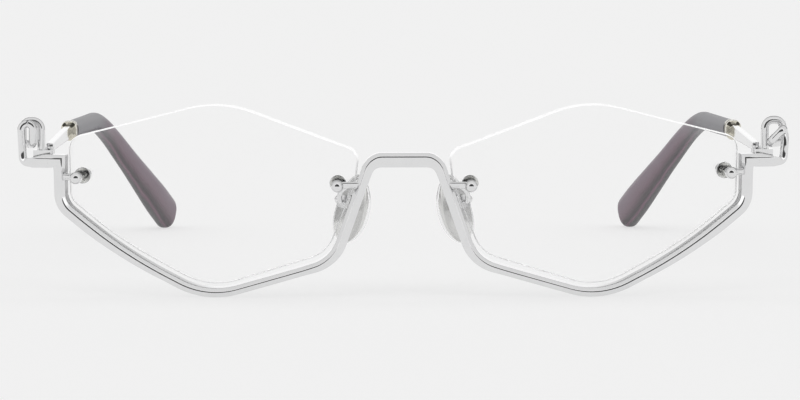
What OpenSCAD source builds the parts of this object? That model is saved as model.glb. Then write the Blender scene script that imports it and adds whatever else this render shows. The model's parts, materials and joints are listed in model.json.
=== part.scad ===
// Diamond-shaped semi-rimless metal eyeglasses, standing open on a table.
// X is across the face with +X at the wearer's left, Y runs from the front to the ear tips,
// Z is up. The origin is on the table, at the middle of the footprint. Sizes in millimetres.

/* [Front wire] */
// Lean of the top of the front towards the viewer, in degrees
front_tilt = 5; // [3:0.5:10]
// Turn of each half of the front towards the temple, in degrees
front_wrap = 7; // [4:0.5:10]
// Radius of the bow of the front
front_curve_r = 230; // [160:5:400]
// Depth of the flat wire, front to back
wire_depth = 2.4; // [1.8:0.1:3]
// Width of the polished bevel along the lens side of the wire
bevel = 0.6; // [0.3:0.02:0.8]
// Face width of the wire along the bottom
wire_bottom_w = 0.96; // [0.8:0.02:1.3]
// Face width of the wire at the temple side
wire_side_w = 1.4; // [1:0.05:1.7]
// Face width of the wire beside the nose
wire_nose_w = 1.4; // [1.1:0.05:1.9]
// Face width of the bridge
bridge_w = 2.0; // [1.5:0.05:2.4]
// Depth of the bridge, front to back
bridge_depth = 2.4; // [1.8:0.1:3]

/* [Outline of one side] */
// Height of the middle of the bridge
bridge_z = 25.3; // [24:0.1:27]
// Half width of the bridge, to the corner of its centre line
bridge_half = 5.9; // [5.5:0.1:6.5]
// Distance of the wire's inner nose corner from the middle
nose_corner_x = 12.6; // [12.2:0.1:13.4]
// Height of the wire's inner nose corner
nose_corner_z = 6.4; // [6:0.1:7]
// Distance of the lowest corner from the middle
low_x = 36.5; // [35:0.1:38]
// Distance of the soft bend in the slanted side from the middle
slant_x = 53.8; // [52.5:0.1:55]
// Height of the soft bend in the slanted side
slant_z = 8.3; // [8:0.1:8.8]
// Distance of the upright temple side from the middle
side_x = 64.15; // [63:0.05:66]
// Height of the corner between the slanted and upright sides
side_low_z = 16.8; // [16:0.1:17.5]
// Height of the middle of the end band
band_z = 24.72; // [24.2:0.02:25.4]
// Face width of the end band
band_w = 1.85; // [1.4:0.05:2]

/* [Lens] */
// Thickness of each lens
lens_t = 2; // [1.5:0.1:2.6]
// Gap between the lens edge and the wire beside it
lens_gap = 0.53; // [0.3:0.01:0.8]
// Gap between the lens edge and the wire below it
lens_low_gap = 0.78; // [0.4:0.01:1]
// Height of the top corner of the lens outline
lens_top_z = 36.4; // [35:0.1:38]
// Distance of the top corner of the lens outline from the middle
lens_top_x = 33.6; // [32:0.1:36]
// Height where the lens outline meets its upright temple edge
lens_side_top_z = 29; // [28:0.1:30]
// Height of the corner between the lens top and its nose edge
lens_nose_top_z = 26.9; // [26:0.1:28]
// Distance of that corner from the middle
lens_nose_x = 8.6; // [8.3:0.1:9.2]

/* [Lens fixings] */
// Height of the temple side lens tab on the wearer's left
tab_side_z_left = 22.9; // [21:0.1:23]
// Height of the temple side lens tab on the wearer's right
tab_side_z_right = 22.1; // [21:0.1:23]
// Height of the two nose side lens tabs
tab_nose_z = 20.95; // [19:0.05:21.5]
// Distance of the temple side lens screws from the middle
screw_side_x = 60.35; // [59.5:0.05:61]
// Distance of the nose side lens screws from the middle
screw_nose_x = 12.25; // [11.8:0.05:13]
// Height of the tab strip
tab_h = 1.25; // [1:0.05:1.5]
// Thickness of the tab strip
tab_t = 0.8; // [0.6:0.05:1]
// Radius of the ball heads
ball_r = 1.15; // [0.8:0.05:1.3]
// Radius of the lens screw shank
shank_r = 0.5; // [0.4:0.05:0.6]
// Radius of the nut flange
nut_r = 1.55; // [1.2:0.05:1.7]
// Length of the nut
nut_len = 1.7; // [1.3:0.1:2.2]

/* [End coil and hinge] */
// Distance of the coil's outer strand from the middle
coil_x = 71.1; // [70:0.05:72.5]
// Distance between the inner and outer strands of the coil
coil_span = 3.45; // [3.2:0.05:4.2]
// Height of the top strand of the coil
coil_top_z = 32.25; // [31.5:0.05:34]
// Step of the coil from its front turn to its back turn
coil_pitch = 2.4; // [2.2:0.05:3]
// Diameter of the coil wire
coil_d = 1.5; // [1.2:0.05:1.6]
// Height of the bottom of the hinge
hinge_z = 23.9; // [23.4:0.05:24.4]
// Height of each of the three knuckles
knuckle_h = 0.96; // [0.8:0.02:1.1]
// Outer radius of the knuckles
knuckle_r = 1.1; // [0.95:0.05:1.3]
// Radius of the hinge screw
pin_r = 0.5; // [0.35:0.05:0.6]

/* [Temples] */
// Distance of the straight part of each temple from the middle
temple_x = 66.5; // [65.5:0.1:67.5]
// Height of the temple bar at the hinge
temple_z = 27.1; // [26.8:0.05:28.4]
// Length of the temple from the hinge to the ear bend
bend_len = 93; // [80:0.5:100]
// Length of the drop from the ear bend to the tip's end
drop_len = 47; // [40:0.5:52]
// Height of the temple at the ear bend
bend_z = 27.5; // [26.5:0.1:29]
// Inward turn of the temple behind the ear, in degrees
inward_angle = 17; // [10:0.2:22]
// Thickness of the temple bar
bar_t = 1.2; // [1:0.1:1.6]
// Height of the temple bar at the hinge
bar_front_h = 1.6; // [1.3:0.1:2]
// Height of the temple bar at the ferrule
bar_back_h = 2.8; // [2.4:0.1:3]
// Length of the ferrule
ferrule_len = 3.2; // [2:0.1:5]
// Height of the acetate tip at the ferrule
tip_front_h = 3.5; // [3.3:0.1:4]
// Height of the acetate tip near its end
tip_back_h = 7.6; // [5:0.1:8.5]
// Thickness of the acetate tip near its end
tip_back_t = 4.8; // [3.4:0.1:5.4]

/* [Nose pads] */
// Height of each nose pad
pad_h = 13.2; // [11:0.2:15]
// Width of each nose pad
pad_w = 7.4; // [6:0.2:8]
// Thickness of each nose pad
pad_t = 2.2; // [1.8:0.1:2.6]
// Distance of the pad centre from the middle
pad_x = 9.3; // [9:0.1:10.5]
// Height of the pad centre
pad_z = 15.5; // [14.5:0.1:16.5]
// Turn of the pad away from the front, in degrees
pad_splay = 43; // [35:1:50]
// Lean of the pad away from the nose, in degrees
pad_lean = 15; // [10:1:20]
// Diameter of the pad arm wire
arm_d = 0.9; // [0.7:0.05:1.1]

/* [Hidden] */
$fn = 48;

// Colours, as the photograph shows them
silver = [0.80, 0.80, 0.81];
champagne = [0.80, 0.76, 0.64];
clear = [0.92, 0.94, 0.95, 0.4];
smoke = [0.42, 0.36, 0.42];

// Clearances
run_gap = 0.05;
seat_gap = 0.02;
braze = 0.2;

// Lens centre, and the width of the middle where the front has no bow
lens_cx = 35;
lens_cz = 17.6;
nose_flat = 9;
deg = 180 / PI;

// Where the bridge meets the rims, and the rims meet the end bands
joint_z = 22.3;
band_start_x = side_x + 1.85;

// The two temple side tabs sit at heights of their own
function side_z(side) = side > 0 ? tab_side_z_left : tab_side_z_right;

// Lens stack, measured back from the front face of the wire
tab_y = 0.3;
washer_t = 0.16;
lens_seat = 0.03;
lens_set = tab_y + tab_t + seat_gap + washer_t + lens_seat;
back_washer_t = 0.3;
flange_t = 0.5;

// Lowest wire point sits on the table
low_r = 15;
low_z = -0.655;

// Vector and curve helpers
function unit(v) = v / norm(v);
function spow(v, e) = sign(v) * pow(abs(v), e);
function mixed(a, b, f) = a + (b - a) * f;

// Arc of radius r that rounds the corner at b, with n steps
function fillet(a, b, c, r, n) =
    let (u = unit(a - b), v = unit(c - b), corner = acos(u * v), turn = 180 - corner)
    let (mid = b + unit(u + v) * r / sin(corner / 2))
    let (s = b + u * r / tan(corner / 2) - mid, e = b + v * r / tan(corner / 2) - mid)
    [for (k = [0:n]) mid + (sin(turn * (1 - k / n)) * s + sin(turn * k / n) * e) / sin(turn)];

// Polyline with its inner corners rounded
function rounded(pts, radii, steps) = [
    pts[0],
    for (i = [1:len(pts) - 2]) each fillet(pts[i - 1], pts[i], pts[i + 1], radii[i - 1], steps[i - 1]),
    pts[len(pts) - 1]
];

// Long runs of a path cut into equal steps no longer than the given length
function divided(path, step) = [
    for (i = [0:len(path) - 2])
        let (n = max(1, ceil(norm(path[i + 1] - path[i]) / step)))
        each [for (k = [0:n - 1]) mixed(path[i], path[i + 1], k / n)],
    path[len(path) - 1]
];

// Direction of travel at one point of a path
function heading(path, i) = unit(path[min(i + 1, len(path) - 1)] - path[max(i - 1, 0)]);

// Distance along a path up to point i
function run_to(path, i) = i <= 0 ? 0 : run_to(path, i - 1) + norm(path[i] - path[i - 1]);

// Smooth curve through hand-set points
function curve_point(a, b, c, d, t) =
    0.5 * (2 * b + (c - a) * t + (2 * a - 5 * b + 4 * c - d) * t * t + (3 * b - a - 3 * c + d) * t * t * t);
function curved(pts, steps) = [
    for (i = [0:len(pts) - 2])
        let (a = pts[max(i - 1, 0)], d = pts[min(i + 2, len(pts) - 1)])
        each [for (k = [0:steps - 1]) curve_point(a, pts[i], pts[i + 1], d, k / steps)],
    pts[len(pts) - 1]
];

// Normal that is carried along a path without twisting
function carried(path, n, i = 0, out = []) =
    i >= len(path) ? out
    : let (t = heading(path, i), m = unit(n - (n * t) * t))
      carried(path, m, i + 1, concat(out, [m]));

// One cross-section: width w along u, depth d along v, from boxy (small e) to round (e = 1)
function ring(c, u, v, w, d, e = 1, sides = 12) = [
    for (k = [0:sides - 1])
        let (a = 360 * k / sides)
        c + u * w / 2 * spow(cos(a), e) + v * d / 2 * spow(sin(a), e)
];

// Closed solid through a row of cross-sections
module loft(rings) {
    n = len(rings[0]);
    m = len(rings);
    quads = [
        for (i = [0:m - 2], k = [0:n - 1])
            let (a = i * n + k, b = i * n + (k + 1) % n)
            each [[a, b, b + n], [a, b + n, a + n]]
    ];
    front_cap = [for (k = [n - 1:-1:0]) k];
    back_cap = [for (k = [0:n - 1]) (m - 1) * n + k];
    polyhedron([for (r = rings) each r], concat([front_cap], quads, [back_cap]), convexity = 6);
}

// Bowed and tilted front surface, over the front elevation (x, z)
function bow_x(x) = max(abs(x), nose_flat) - lens_cx;
function front_y(x, z) =
    -z * tan(front_tilt) + tan(front_wrap) * bow_x(x)
    + (bow_x(x) * bow_x(x) + (z - lens_cz) * (z - lens_cz)) / (2 * front_curve_r);
function slope_x(x) = abs(x) < nose_flat ? 0 : sign(x) * (tan(front_wrap) + bow_x(x) / front_curve_r);
function slope_z(z) = -tan(front_tilt) + (z - lens_cz) / front_curve_r;
function back_dir(x, z) = unit([-slope_x(x), 1, -slope_z(z)]);
function on_front(x, z) = [x, front_y(x, z), z];

// Local frame on the front surface: x across, y straight back through it, z up
module at_front(x, z) {
    n = back_dir(x, z);
    translate(on_front(x, z)) rotate([asin(n[2]), 0, atan2(-n[0], n[1])]) children();
}

// Cylinder along the local y axis
module rod(r, y0, y1) {
    translate([0, y0, 0]) rotate([-90, 0, 0]) cylinder(r = r, h = y1 - y0);
}

// Everything is drawn for the wearer's left, and the right is its mirror image.
// The shift puts the origin in the middle of the footprint, between ball head and tip end.
module on_side(side) {
    translate([0, -mid_y, 0]) {
        if (side > 0) children();
        else mirror([1, 0, 0]) children();
    }
}

// Front wire

// Centre line of one rim from the bridge joint round to the end band, in elevation
nose_line = [nose_corner_x - bridge_half, nose_corner_z - bridge_z];
joint = [bridge_half, bridge_z] - nose_line * (bridge_z - joint_z) / nose_line[1];
rim_line = [
    joint,
    [nose_corner_x, nose_corner_z],
    [low_x, low_z],
    [slant_x, slant_z],
    [side_x, side_low_z],
    [side_x, band_z],
    [band_start_x, band_z]
];
rim_radii = [8, low_r, 90, 4.6, 1.5];
rim_path = divided(rounded(rim_line, rim_radii, [8, 8, 4, 7, 6]), 5);
rim_len = run_to(rim_path, len(rim_path) - 1);
function rim_width(s) = lookup(s / rim_len, [
    [0, wire_nose_w], [0.17, wire_nose_w], [0.27, wire_bottom_w],
    [0.6, wire_bottom_w], [0.76, mixed(wire_bottom_w, wire_side_w, 0.75)],
    [0.8, wire_side_w], [0.95, wire_side_w], [1, band_w]
]);

// Cross-section of the flat wire, as (towards the lens, back) from the middle of its face:
// a flat face, a bevel on the lens side, and slightly eased corners
ease = 0.12;
function wire_section(w, depth, b) =
    let (f = ease * 0.7, o = w / 2, i = w / 2 + b)
    [
        [i, b + ease], [i, depth / 2], [i, depth - ease], [i - ease, depth],
        [-o + ease, depth], [-o, depth - ease], [-o, depth / 2], [-o, ease],
        [-o + ease, 0], [o - f / 2, 0], [o + f / 2, f / 2], [i - f, b - f]
    ];
// The same wire drawn round, with its points in the same order
function round_section(d, depth) =
    [for (k = [0:11]) [d / 2 * cos(30 * k - 30), depth / 2 + d / 2 * sin(30 * k - 30)]];
function placed(c, u, v, section) = [for (q = section) c + u * q[0] + v * q[1]];

// Section where the wire's centre line passes a point of the front
function wire_ring(p, d, w, depth, b = bevel) =
    let (n = back_dir(p[0], p[1]))
    let (t = unit([d[0], slope_x(p[0]) * d[0] + slope_z(p[1]) * d[1], d[1]]))
    placed(on_front(p[0], p[1]), cross(t, n), n, wire_section(w, depth, b));

module rim(side) {
    color(silver) on_side(side) loft([
        for (i = [0:len(rim_path) - 1])
            wire_ring(rim_path[i], heading(rim_path, i), rim_width(run_to(rim_path, i)), wire_depth)
    ]);
}

// Bridge: a flat strip with a rounded square arch
bridge_r = 2.7;
bridge_line = [
    [-joint[0], joint[1]], [-bridge_half, bridge_z], [bridge_half, bridge_z], joint
];
bridge_path = divided(rounded(bridge_line, [bridge_r, bridge_r], [8, 8]), 3);
function bridge_share(x) = lookup(abs(x), [[bridge_half - 1.4, 1], [joint[0], 0]]);

module bridge() {
    color(silver) on_side(1) loft([
        for (i = [0:len(bridge_path) - 1])
            let (p = bridge_path[i], f = bridge_share(p[0]))
            wire_ring(p, heading(bridge_path, i), mixed(wire_nose_w, bridge_w, f),
                mixed(wire_depth, bridge_depth, f))
    ]);
}

// Endpiece: the band runs out, turns up, and winds two turns back into the hinge.
// Each corner of the route gives shares of the coil (across, back, up) and a bend radius.
coil_hook = [
    [1, 0, 0.93, 1.2], [0.36, 0, 0.93, 1], [0.38, 0.13, 0.2, 0.9], [0.6, 1, 0.2, 0.9],
    [1, 1.07, 0.2, 0.8], [1, 1.03, 1, 1.5], [0, 0.98, 1, 1.5]
];
coil_cross = [
    [1, 0, 0.28, 4], [0.97, 0.46, 0.72, 0.9], [0.84, -0.5, 0.72, 0.8], [0.1, -0.16, 0.21, 0.9],
    [0.97, 1.38, 0.21, 1], [1, 1.2, 1, 1.5], [0, 0.98, 1, 1.5]
];
band_bend_r = 1.1;
function band_point(x) = on_front(x, band_z) + back_dir(x, band_z) * wire_depth / 2;
coil_y = band_point(coil_x)[1] + 0.08;
leaf_top_z = hinge_z + 3 * knuckle_h + 2 * run_gap;
function coil_point(p) = [
    coil_x - coil_span * (1 - p[0]),
    coil_y + coil_pitch * p[1],
    leaf_top_z + (coil_top_z - leaf_top_z) * p[2]
];
function coil_path(shape) = rounded(
    [
        band_point(band_start_x), band_point(band_start_x + 1.2), band_point(band_start_x + 2.6),
        band_point(coil_x), for (p = shape) coil_point(p), coil_point([0, 0.98, 0])
    ],
    [4, 4, band_bend_r, for (p = shape) p[3]],
    [1, 1, for (i = [0:len(shape)]) 5]
);

// Wire section along the endpiece: the bevel runs out, then the flat band turns into round wire
function bevel_share(s) = lookup(s, [[0.6, 1], [3.4, 0]]);
function round_share(s) = lookup(s, [[3, 0], [6.5, 1]]);
function end_section(s) =
    let (f = round_share(s), w = mixed(band_w, coil_d, f), d = mixed(wire_depth, coil_d, f))
    let (flat = wire_section(w, d, bevel * bevel_share(s)), soft = round_section(coil_d, d))
    [for (k = [0:11]) mixed(flat[k], soft[k], f) - [0, d / 2]];

module endpiece(side) {
    path = coil_path(side > 0 ? coil_cross : coil_hook);
    normals = carried(path, back_dir(band_start_x, band_z));
    color(silver) on_side(side) loft([
        wire_ring([band_start_x, band_z], [1, 0], band_w, wire_depth),
        for (i = [1:len(path) - 1])
            let (n = normals[i])
            placed(path[i], cross(heading(path, i), n), n, end_section(run_to(path, i)))
    ]);
}

// Least gap between two turns of the coil, over places more than 3.4 mm apart along the wire
function dense_coil(shape) = let (p = divided(coil_path(shape), 0.2)) [for (i = [12:len(p) - 1]) p[i]];
function coil_gap(q) =
    let (runs = [for (i = 0, s = 0; i < len(q); s = s + (i + 1 < len(q) ? norm(q[i + 1] - q[i]) : 0), i = i + 1) s])
    min([for (i = [0:len(q) - 1], k = [i + 1:1:len(q) - 1]) if (runs[k] - runs[i] > 3.4) norm(q[i] - q[k])])
    - coil_d;
echo(least_coil_gap_left = coil_gap(dense_coil(coil_cross)));
echo(least_coil_gap_right = coil_gap(dense_coil(coil_hook)));

// Lenses

// Lens outline in elevation: the wire's inner edge drawn in by the gap, closed over the top
side_in = wire_side_w / 2 + bevel + lens_gap;
low_in = wire_bottom_w / 2 + bevel + lens_low_gap;
nose_in = (wire_nose_w / 2 + bevel + lens_gap) * norm(nose_line) / -nose_line[1];
function nose_x(z) = bridge_half - (bridge_z - z) * nose_line[0] / nose_line[1];
lens_corners = [
    [lens_nose_x, lens_nose_top_z],
    [nose_x(tab_nose_z) + nose_in, tab_nose_z],
    [nose_corner_x + nose_in * 1.05, nose_corner_z + low_in * 0.9],
    [low_x, low_z + low_in * 1.03],
    [slant_x - side_in * 0.4, slant_z + low_in * 1.05],
    [side_x - side_in, side_low_z + side_in * 0.5],
    [side_x - side_in, lens_side_top_z],
    [lens_top_x, lens_top_z]
];
lens_radii = [2.6, 12, 6.4, low_r - low_in, 80, 3.4, 2.6, 20];
lens_steps = [6, 3, 8, 8, 4, 6, 6, 10];
function around(list, i) = list[(i + len(list)) % len(list)];
lens_outline = [
    for (i = [0:len(lens_corners) - 1])
        each fillet(around(lens_corners, i - 1), lens_corners[i], around(lens_corners, i + 1),
            lens_radii[i], lens_steps[i])
];

module lens(side) {
    color(clear) on_side(side) difference() {
        at_front(lens_cx, lens_cz) intersection() {
            rotate([90, 0, 0]) translate([0, 0, -12])
                linear_extrude(24)
                    polygon([
                        for (p = lens_outline)
                            [(p[0] - lens_cx) / cos(front_wrap), (p[1] - lens_cz) / cos(front_tilt)]
                    ]);
            translate([0, front_curve_r + lens_set, 0]) rotate([90, 0, 0]) difference() {
                sphere(r = front_curve_r, $fn = 96);
                sphere(r = front_curve_r - lens_t, $fn = 96);
            }
        }
        at_front(screw_side_x, side_z(side)) rod(shank_r + 2 * run_gap, 0, lens_set + lens_t + 2);
        at_front(screw_nose_x, tab_nose_z) rod(shank_r + 2 * run_gap, 0, lens_set + lens_t + 2);
    }
}

// Depth of a lens face of bow radius r below the front surface, along the axis of a lens screw
lens_mid = on_front(lens_cx, lens_cz) + back_dir(lens_cx, lens_cz) * (front_curve_r + lens_set);
function lens_face(x, z, r) =
    let (q = on_front(x, z) - lens_mid, b = q * back_dir(x, z))
    -b - sqrt(b * b - q * q + r * r);
function nut_y(x, z) = lens_face(x, z, front_curve_r - lens_t) + lens_seat + back_washer_t + seat_gap;

// Lens fixings, each drawn on the axis of its lens screw

// Flat tab from the wire to an eye round the screw; reach is signed, towards the wire
module lens_tab(reach) {
    eye_r = tab_h / 2 + 0.2;
    difference() {
        union() {
            rod(eye_r, tab_y, tab_y + tab_t);
            translate([min(0, reach), tab_y, -tab_h / 2]) cube([abs(reach), tab_t, tab_h]);
        }
        rod(shank_r + run_gap, -1, 3);
    }
}

// Ball head screw along z: the ball ends flat at z = 0 and the shank runs up from there
module ball_screw(ball, neck, shank, length) {
    turn = acos(-neck / ball);
    rotate_extrude() polygon([
        for (k = [0:12]) let (a = turn * k / 12) [ball * sin(a), -neck - ball * cos(a)],
        [shank, 0], [shank, length], [0, length]
    ]);
}

// Lens screw, which passes through tab, lens and nut
module lens_screw(x, z) {
    at_front(x, z) translate([0, tab_y - seat_gap, 0]) rotate([-90, 0, 0])
        ball_screw(ball_r, ball_r * 0.85, shank_r, nut_y(x, z) + nut_len + 0.3 - tab_y);
}

// Round nut with a flange and a grooved body
module lens_nut(x, z) {
    body_r = nut_r - 0.25;
    at_front(x, z) translate([0, nut_y(x, z), 0]) rotate([-90, 0, 0]) rotate_extrude() polygon([
        [shank_r + seat_gap, 0], [nut_r, 0], [nut_r, flange_t],
        [body_r - 0.15, flange_t], [body_r - 0.15, flange_t + 0.2],
        [body_r, flange_t + 0.2], [body_r, nut_len - 0.25],
        [body_r - 0.25, nut_len], [shank_r + seat_gap, nut_len]
    ]);
}

module washer(r, y, t) {
    difference() {
        rod(r, y, y + t);
        rod(shank_r + run_gap, y - 1, y + t + 1);
    }
}

// Clear washers in front of and behind the lens at one screw
module washer_pair(x, z) {
    front = tab_y + tab_t + seat_gap;
    at_front(x, z) {
        washer(nut_r - 0.35, front, lens_face(x, z, front_curve_r) - lens_seat - front);
        washer(nut_r - 0.1, lens_face(x, z, front_curve_r - lens_t) + lens_seat, back_washer_t);
    }
}

module lens_tab_temple(side) {
    reach = (side_x - wire_side_w / 2 - bevel / 2 - screw_side_x) / cos(front_wrap) + braze;
    color(silver) on_side(side) at_front(screw_side_x, side_z(side)) lens_tab(reach);
}

module lens_tab_nose(side) {
    wire_x = nose_x(tab_nose_z) + wire_nose_w / 2 + bevel / 2;
    color(silver) on_side(side) at_front(screw_nose_x, tab_nose_z) lens_tab(wire_x - screw_nose_x - braze);
}

module lens_screw_temple(side) {
    color(silver) on_side(side) lens_screw(screw_side_x, side_z(side));
}

module lens_screw_nose(side) {
    color(silver) on_side(side) lens_screw(screw_nose_x, tab_nose_z);
}

module lens_nut_temple(side) {
    color(silver) on_side(side) lens_nut(screw_side_x, side_z(side));
}

module lens_nut_nose(side) {
    color(silver) on_side(side) lens_nut(screw_nose_x, tab_nose_z);
}

module lens_washers(side) {
    color(clear) on_side(side) {
        washer_pair(screw_side_x, side_z(side));
        washer_pair(screw_nose_x, tab_nose_z);
    }
}

// Hinge

// Front leaf: a block behind the band that carries the coil's end and two of the knuckles
leaf_y = band_point(coil_x - 1.7)[1] + wire_depth / 2 + 0.25;
leaf_t = 2.2;
pin_x = temple_x;
pin_y = leaf_y + leaf_t + knuckle_r + 0.5;
coil_in_x = coil_x - coil_span;
leaf_in_x = pin_x - 0.7;
leaf_out_x = coil_in_x + coil_d / 2 + 0.6;

// Knuckle number k, counted up from the bottom of the hinge
function knuckle_z(k) = hinge_z + k * (knuckle_h + run_gap);

module hinge_leaf_front(side) {
    color(silver) on_side(side) difference() {
        union() {
            translate([leaf_in_x, leaf_y, hinge_z])
                cube([leaf_out_x - leaf_in_x, leaf_t, leaf_top_z - hinge_z]);
            for (k = [0, 2]) translate([pin_x, 0, knuckle_z(k)]) {
                translate([0, pin_y, 0]) cylinder(r = knuckle_r, h = knuckle_h);
                translate([-0.7, leaf_y + leaf_t - 0.1, 0]) cube([1.4, pin_y - leaf_y - leaf_t, knuckle_h]);
            }
        }
        translate([pin_x, pin_y, hinge_z - 1]) cylinder(r = pin_r + seat_gap, h = 3 * knuckle_h + 3);
    }
}

// Slotted screw that is the hinge pin
module hinge_screw(side) {
    head_h = 0.42;
    color(silver) on_side(side) translate([pin_x, pin_y, 0]) difference() {
        union() {
            translate([0, 0, hinge_z - 0.15]) cylinder(r = pin_r, h = leaf_top_z - hinge_z + 0.25);
            translate([0, 0, leaf_top_z + seat_gap]) cylinder(r = knuckle_r - 0.15, h = head_h);
        }
        translate([-2, -0.12, leaf_top_z + head_h - 0.18]) cube([4, 0.24, 1]);
    }
}

// Temples

// Straight part, from behind the hinge to the ferrule
bar_y = pin_y + knuckle_r + 0.3;
ferrule_y = pin_y + 34;
core_y = ferrule_y + ferrule_len;
rise_angle = 2.1;
function straight(y) = [temple_x, y, temple_z + (y - bar_y) * tan(rise_angle)];

// Curved part inside the tip: it drops and turns in behind the ear, so that its end rests on the table
bend_point = [temple_x, bar_y + bend_len, bend_z];
tip_cap = 3;
function rest_z(a) = norm([tip_cap * sin(a), tip_back_h / 2 * cos(a)]);
function drop_angle(a = 33, n = 6) =
    n == 0 ? a : drop_angle(asin((bend_point[2] - rest_z(a) - 0.02) / drop_len), n - 1);
drop_dir = [-cos(drop_angle()) * sin(inward_angle), cos(drop_angle()) * cos(inward_angle), -sin(drop_angle())];
tip_line = [straight(core_y), bend_point, bend_point + drop_len * drop_dir];
tip_path = divided(rounded(tip_line, [24], [9]), 7.5);
tip_len = run_to(tip_path, len(tip_path) - 1);
last = len(tip_path) - 1;
front_most = front_y(screw_nose_x, tab_nose_z) + tab_y - 1.85 * ball_r;
mid_y = (tip_path[last][1] + tip_cap * heading(tip_path, last)[1] + front_most) / 2;

// Upright cross-section of height h and thickness t across the direction d
function upright(p, d, h, t, e, sides = 12) =
    let (out = unit(cross(d, [0, 0, 1])))
    ring(p, cross(out, d), -out, h, t, e, sides);
straight_dir = unit(straight(1) - straight(0));
function tip_dir(i) = i == 0 ? straight_dir : heading(tip_path, i);
function tip_ring(i, h, t, e, sides = 12) = upright(tip_path[i], tip_dir(i), h, t, e, sides);

// Flat bar that grows towards the ferrule, then a thin core inside the tip
core_h = 1.4;
core_t = 0.9;
module temple_bar(side) {
    color(silver) on_side(side) loft([
        upright(straight(bar_y), straight_dir, bar_front_h, bar_t, 0.35),
        upright(straight(core_y), straight_dir, bar_back_h, bar_t, 0.35),
        upright(straight(core_y), straight_dir, core_h, core_t, 0.35),
        for (i = [1:last - 2]) tip_ring(i, core_h, core_t, 0.35)
    ]);
}

// Pale gold sleeve round the bar where it enters the tip
module ferrule(side) {
    h = tip_front_h + 0.3;
    w = tip_front_h - 0.5;
    color(champagne) on_side(side)
        translate(straight(core_y)) rotate([90 + rise_angle, 0, 0]) linear_extrude(ferrule_len)
            difference() {
                union() {
                    square([w, h - w], center = true);
                    for (z = [-1, 1]) translate([0, z * (h - w) / 2]) circle(w / 2);
                }
                square([bar_t + 2 * run_gap, bar_back_h + 2 * run_gap], center = true);
            }
}

// Acetate tip: a slim sleeve that swells past the ear bend into a rounded paddle
function tip_height(f) = lookup(f, [
    [0, tip_front_h], [0.5, tip_front_h - 0.1], [0.62, tip_front_h + 0.2],
    [0.75, mixed(tip_front_h, tip_back_h, 0.45)], [0.93, tip_back_h], [1, tip_back_h]
]);
function tip_thick(f) = lookup(f, [[0, 3.3], [0.6, 3.3], [0.93, tip_back_t], [1, tip_back_t]]);
module temple_tip(side) {
    end = tip_path[last];
    d = heading(tip_path, last);
    color(smoke) on_side(side) difference() {
        loft([
            for (i = [0:last])
                let (f = run_to(tip_path, i) / tip_len)
                tip_ring(i, tip_height(f), tip_thick(f), 0.75, 16),
            for (a = [25, 50, 70, 84])
                upright(end + d * tip_cap * sin(a), d, tip_back_h * cos(a), tip_back_t * cos(a), 0.75, 16)
        ]);
        loft([
            for (y = [-1, 0]) upright(straight(core_y + y), straight_dir, core_h + 0.1, core_t + 0.1, 0.35),
            for (i = [1:last - 2]) tip_ring(i, core_h + 0.1, core_t + 0.1, 0.35),
            upright(tip_path[last - 2] + heading(tip_path, last - 2) * 0.3, heading(tip_path, last - 2),
                core_h + 0.1, core_t + 0.1, 0.35)
        ]);
    }
}

// Temple leaf: one knuckle and a plate below the bar
module hinge_leaf_temple(side) {
    plate_t = 0.9;
    plate_y = pin_y + knuckle_r + 0.2;
    bar_low = temple_z - bar_front_h / 2;
    color(silver) on_side(side) difference() {
        union() {
            translate([pin_x, pin_y, knuckle_z(1)]) cylinder(r = knuckle_r, h = knuckle_h);
            translate([pin_x - plate_t / 2, pin_y, knuckle_z(1)]) cube([plate_t, 5.5, knuckle_h]);
            translate([pin_x - plate_t / 2, plate_y, knuckle_z(1)])
                cube([plate_t, 3.6, bar_low + braze - knuckle_z(1)]);
        }
        translate([pin_x, pin_y, hinge_z - 1]) cylinder(r = pin_r + run_gap, h = 3 * knuckle_h + 3);
    }
}

// Nose pads

// Local frame of one pad: x across the pad, y out of its skin side, z up
pad_back = 10.4;
pivot_y = -pad_t / 2 - 1.35;
cheek_t = 0.4;
cheek_x = 0.85;
pad_pin_r = 0.3;
pin_up = 1.2;
module at_pad(side) {
    on_side(side)
        translate([pad_x, pad_back, pad_z]) rotate([0, -pad_lean, 0]) rotate([0, 0, pad_splay])
            children();
}

// The same frame as points, for the arm
function pad_axis(v) =
    let (a = v[0] * cos(pad_splay) - v[1] * sin(pad_splay), b = v[0] * sin(pad_splay) + v[1] * cos(pad_splay))
    [a * cos(pad_lean) - v[2] * sin(pad_lean), b, a * sin(pad_lean) + v[2] * cos(pad_lean)];
function pad_point(v) = [pad_x, pad_back, pad_z] + pad_axis(v);

// Clear silicone pad: a drop outline with a domed skin side
module nose_pad(side) {
    dome = 13;
    color(clear) at_pad(side) intersection() {
        translate([0, pad_t / 2, 0]) rotate([90, 0, 0]) linear_extrude(pad_t)
            polygon([
                for (k = [0:35])
                    let (a = 10 * k)
                    [pad_w / 2 * cos(a) * (1 - 0.14 * sin(a)), pad_h / 2 * spow(sin(a), 0.9)]
            ]);
        translate([0, pad_t / 2 - dome, 0]) sphere(r = dome, $fn = 72);
    }
}

// Hard insert of the pad: a small plate with an eye that turns on the pad screw
module pad_stud(side) {
    eye_r = 0.7;
    color(silver) at_pad(side) translate([0, 0, pin_up]) difference() {
        union() {
            translate([-1.2, -pad_t / 2 - 0.3, -2.8]) cube([2.4, 0.3, 5]);
            translate([-cheek_x + run_gap, pivot_y, -eye_r]) cube([2 * (cheek_x - run_gap), 1.2, 2 * eye_r]);
            translate([-cheek_x + run_gap, pivot_y, 0]) rotate([0, 90, 0])
                cylinder(r = eye_r, h = 2 * (cheek_x - run_gap));
        }
        translate([-3, pivot_y, 0]) rotate([0, 90, 0]) cylinder(r = pad_pin_r + run_gap, h = 6);
    }
}

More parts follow.
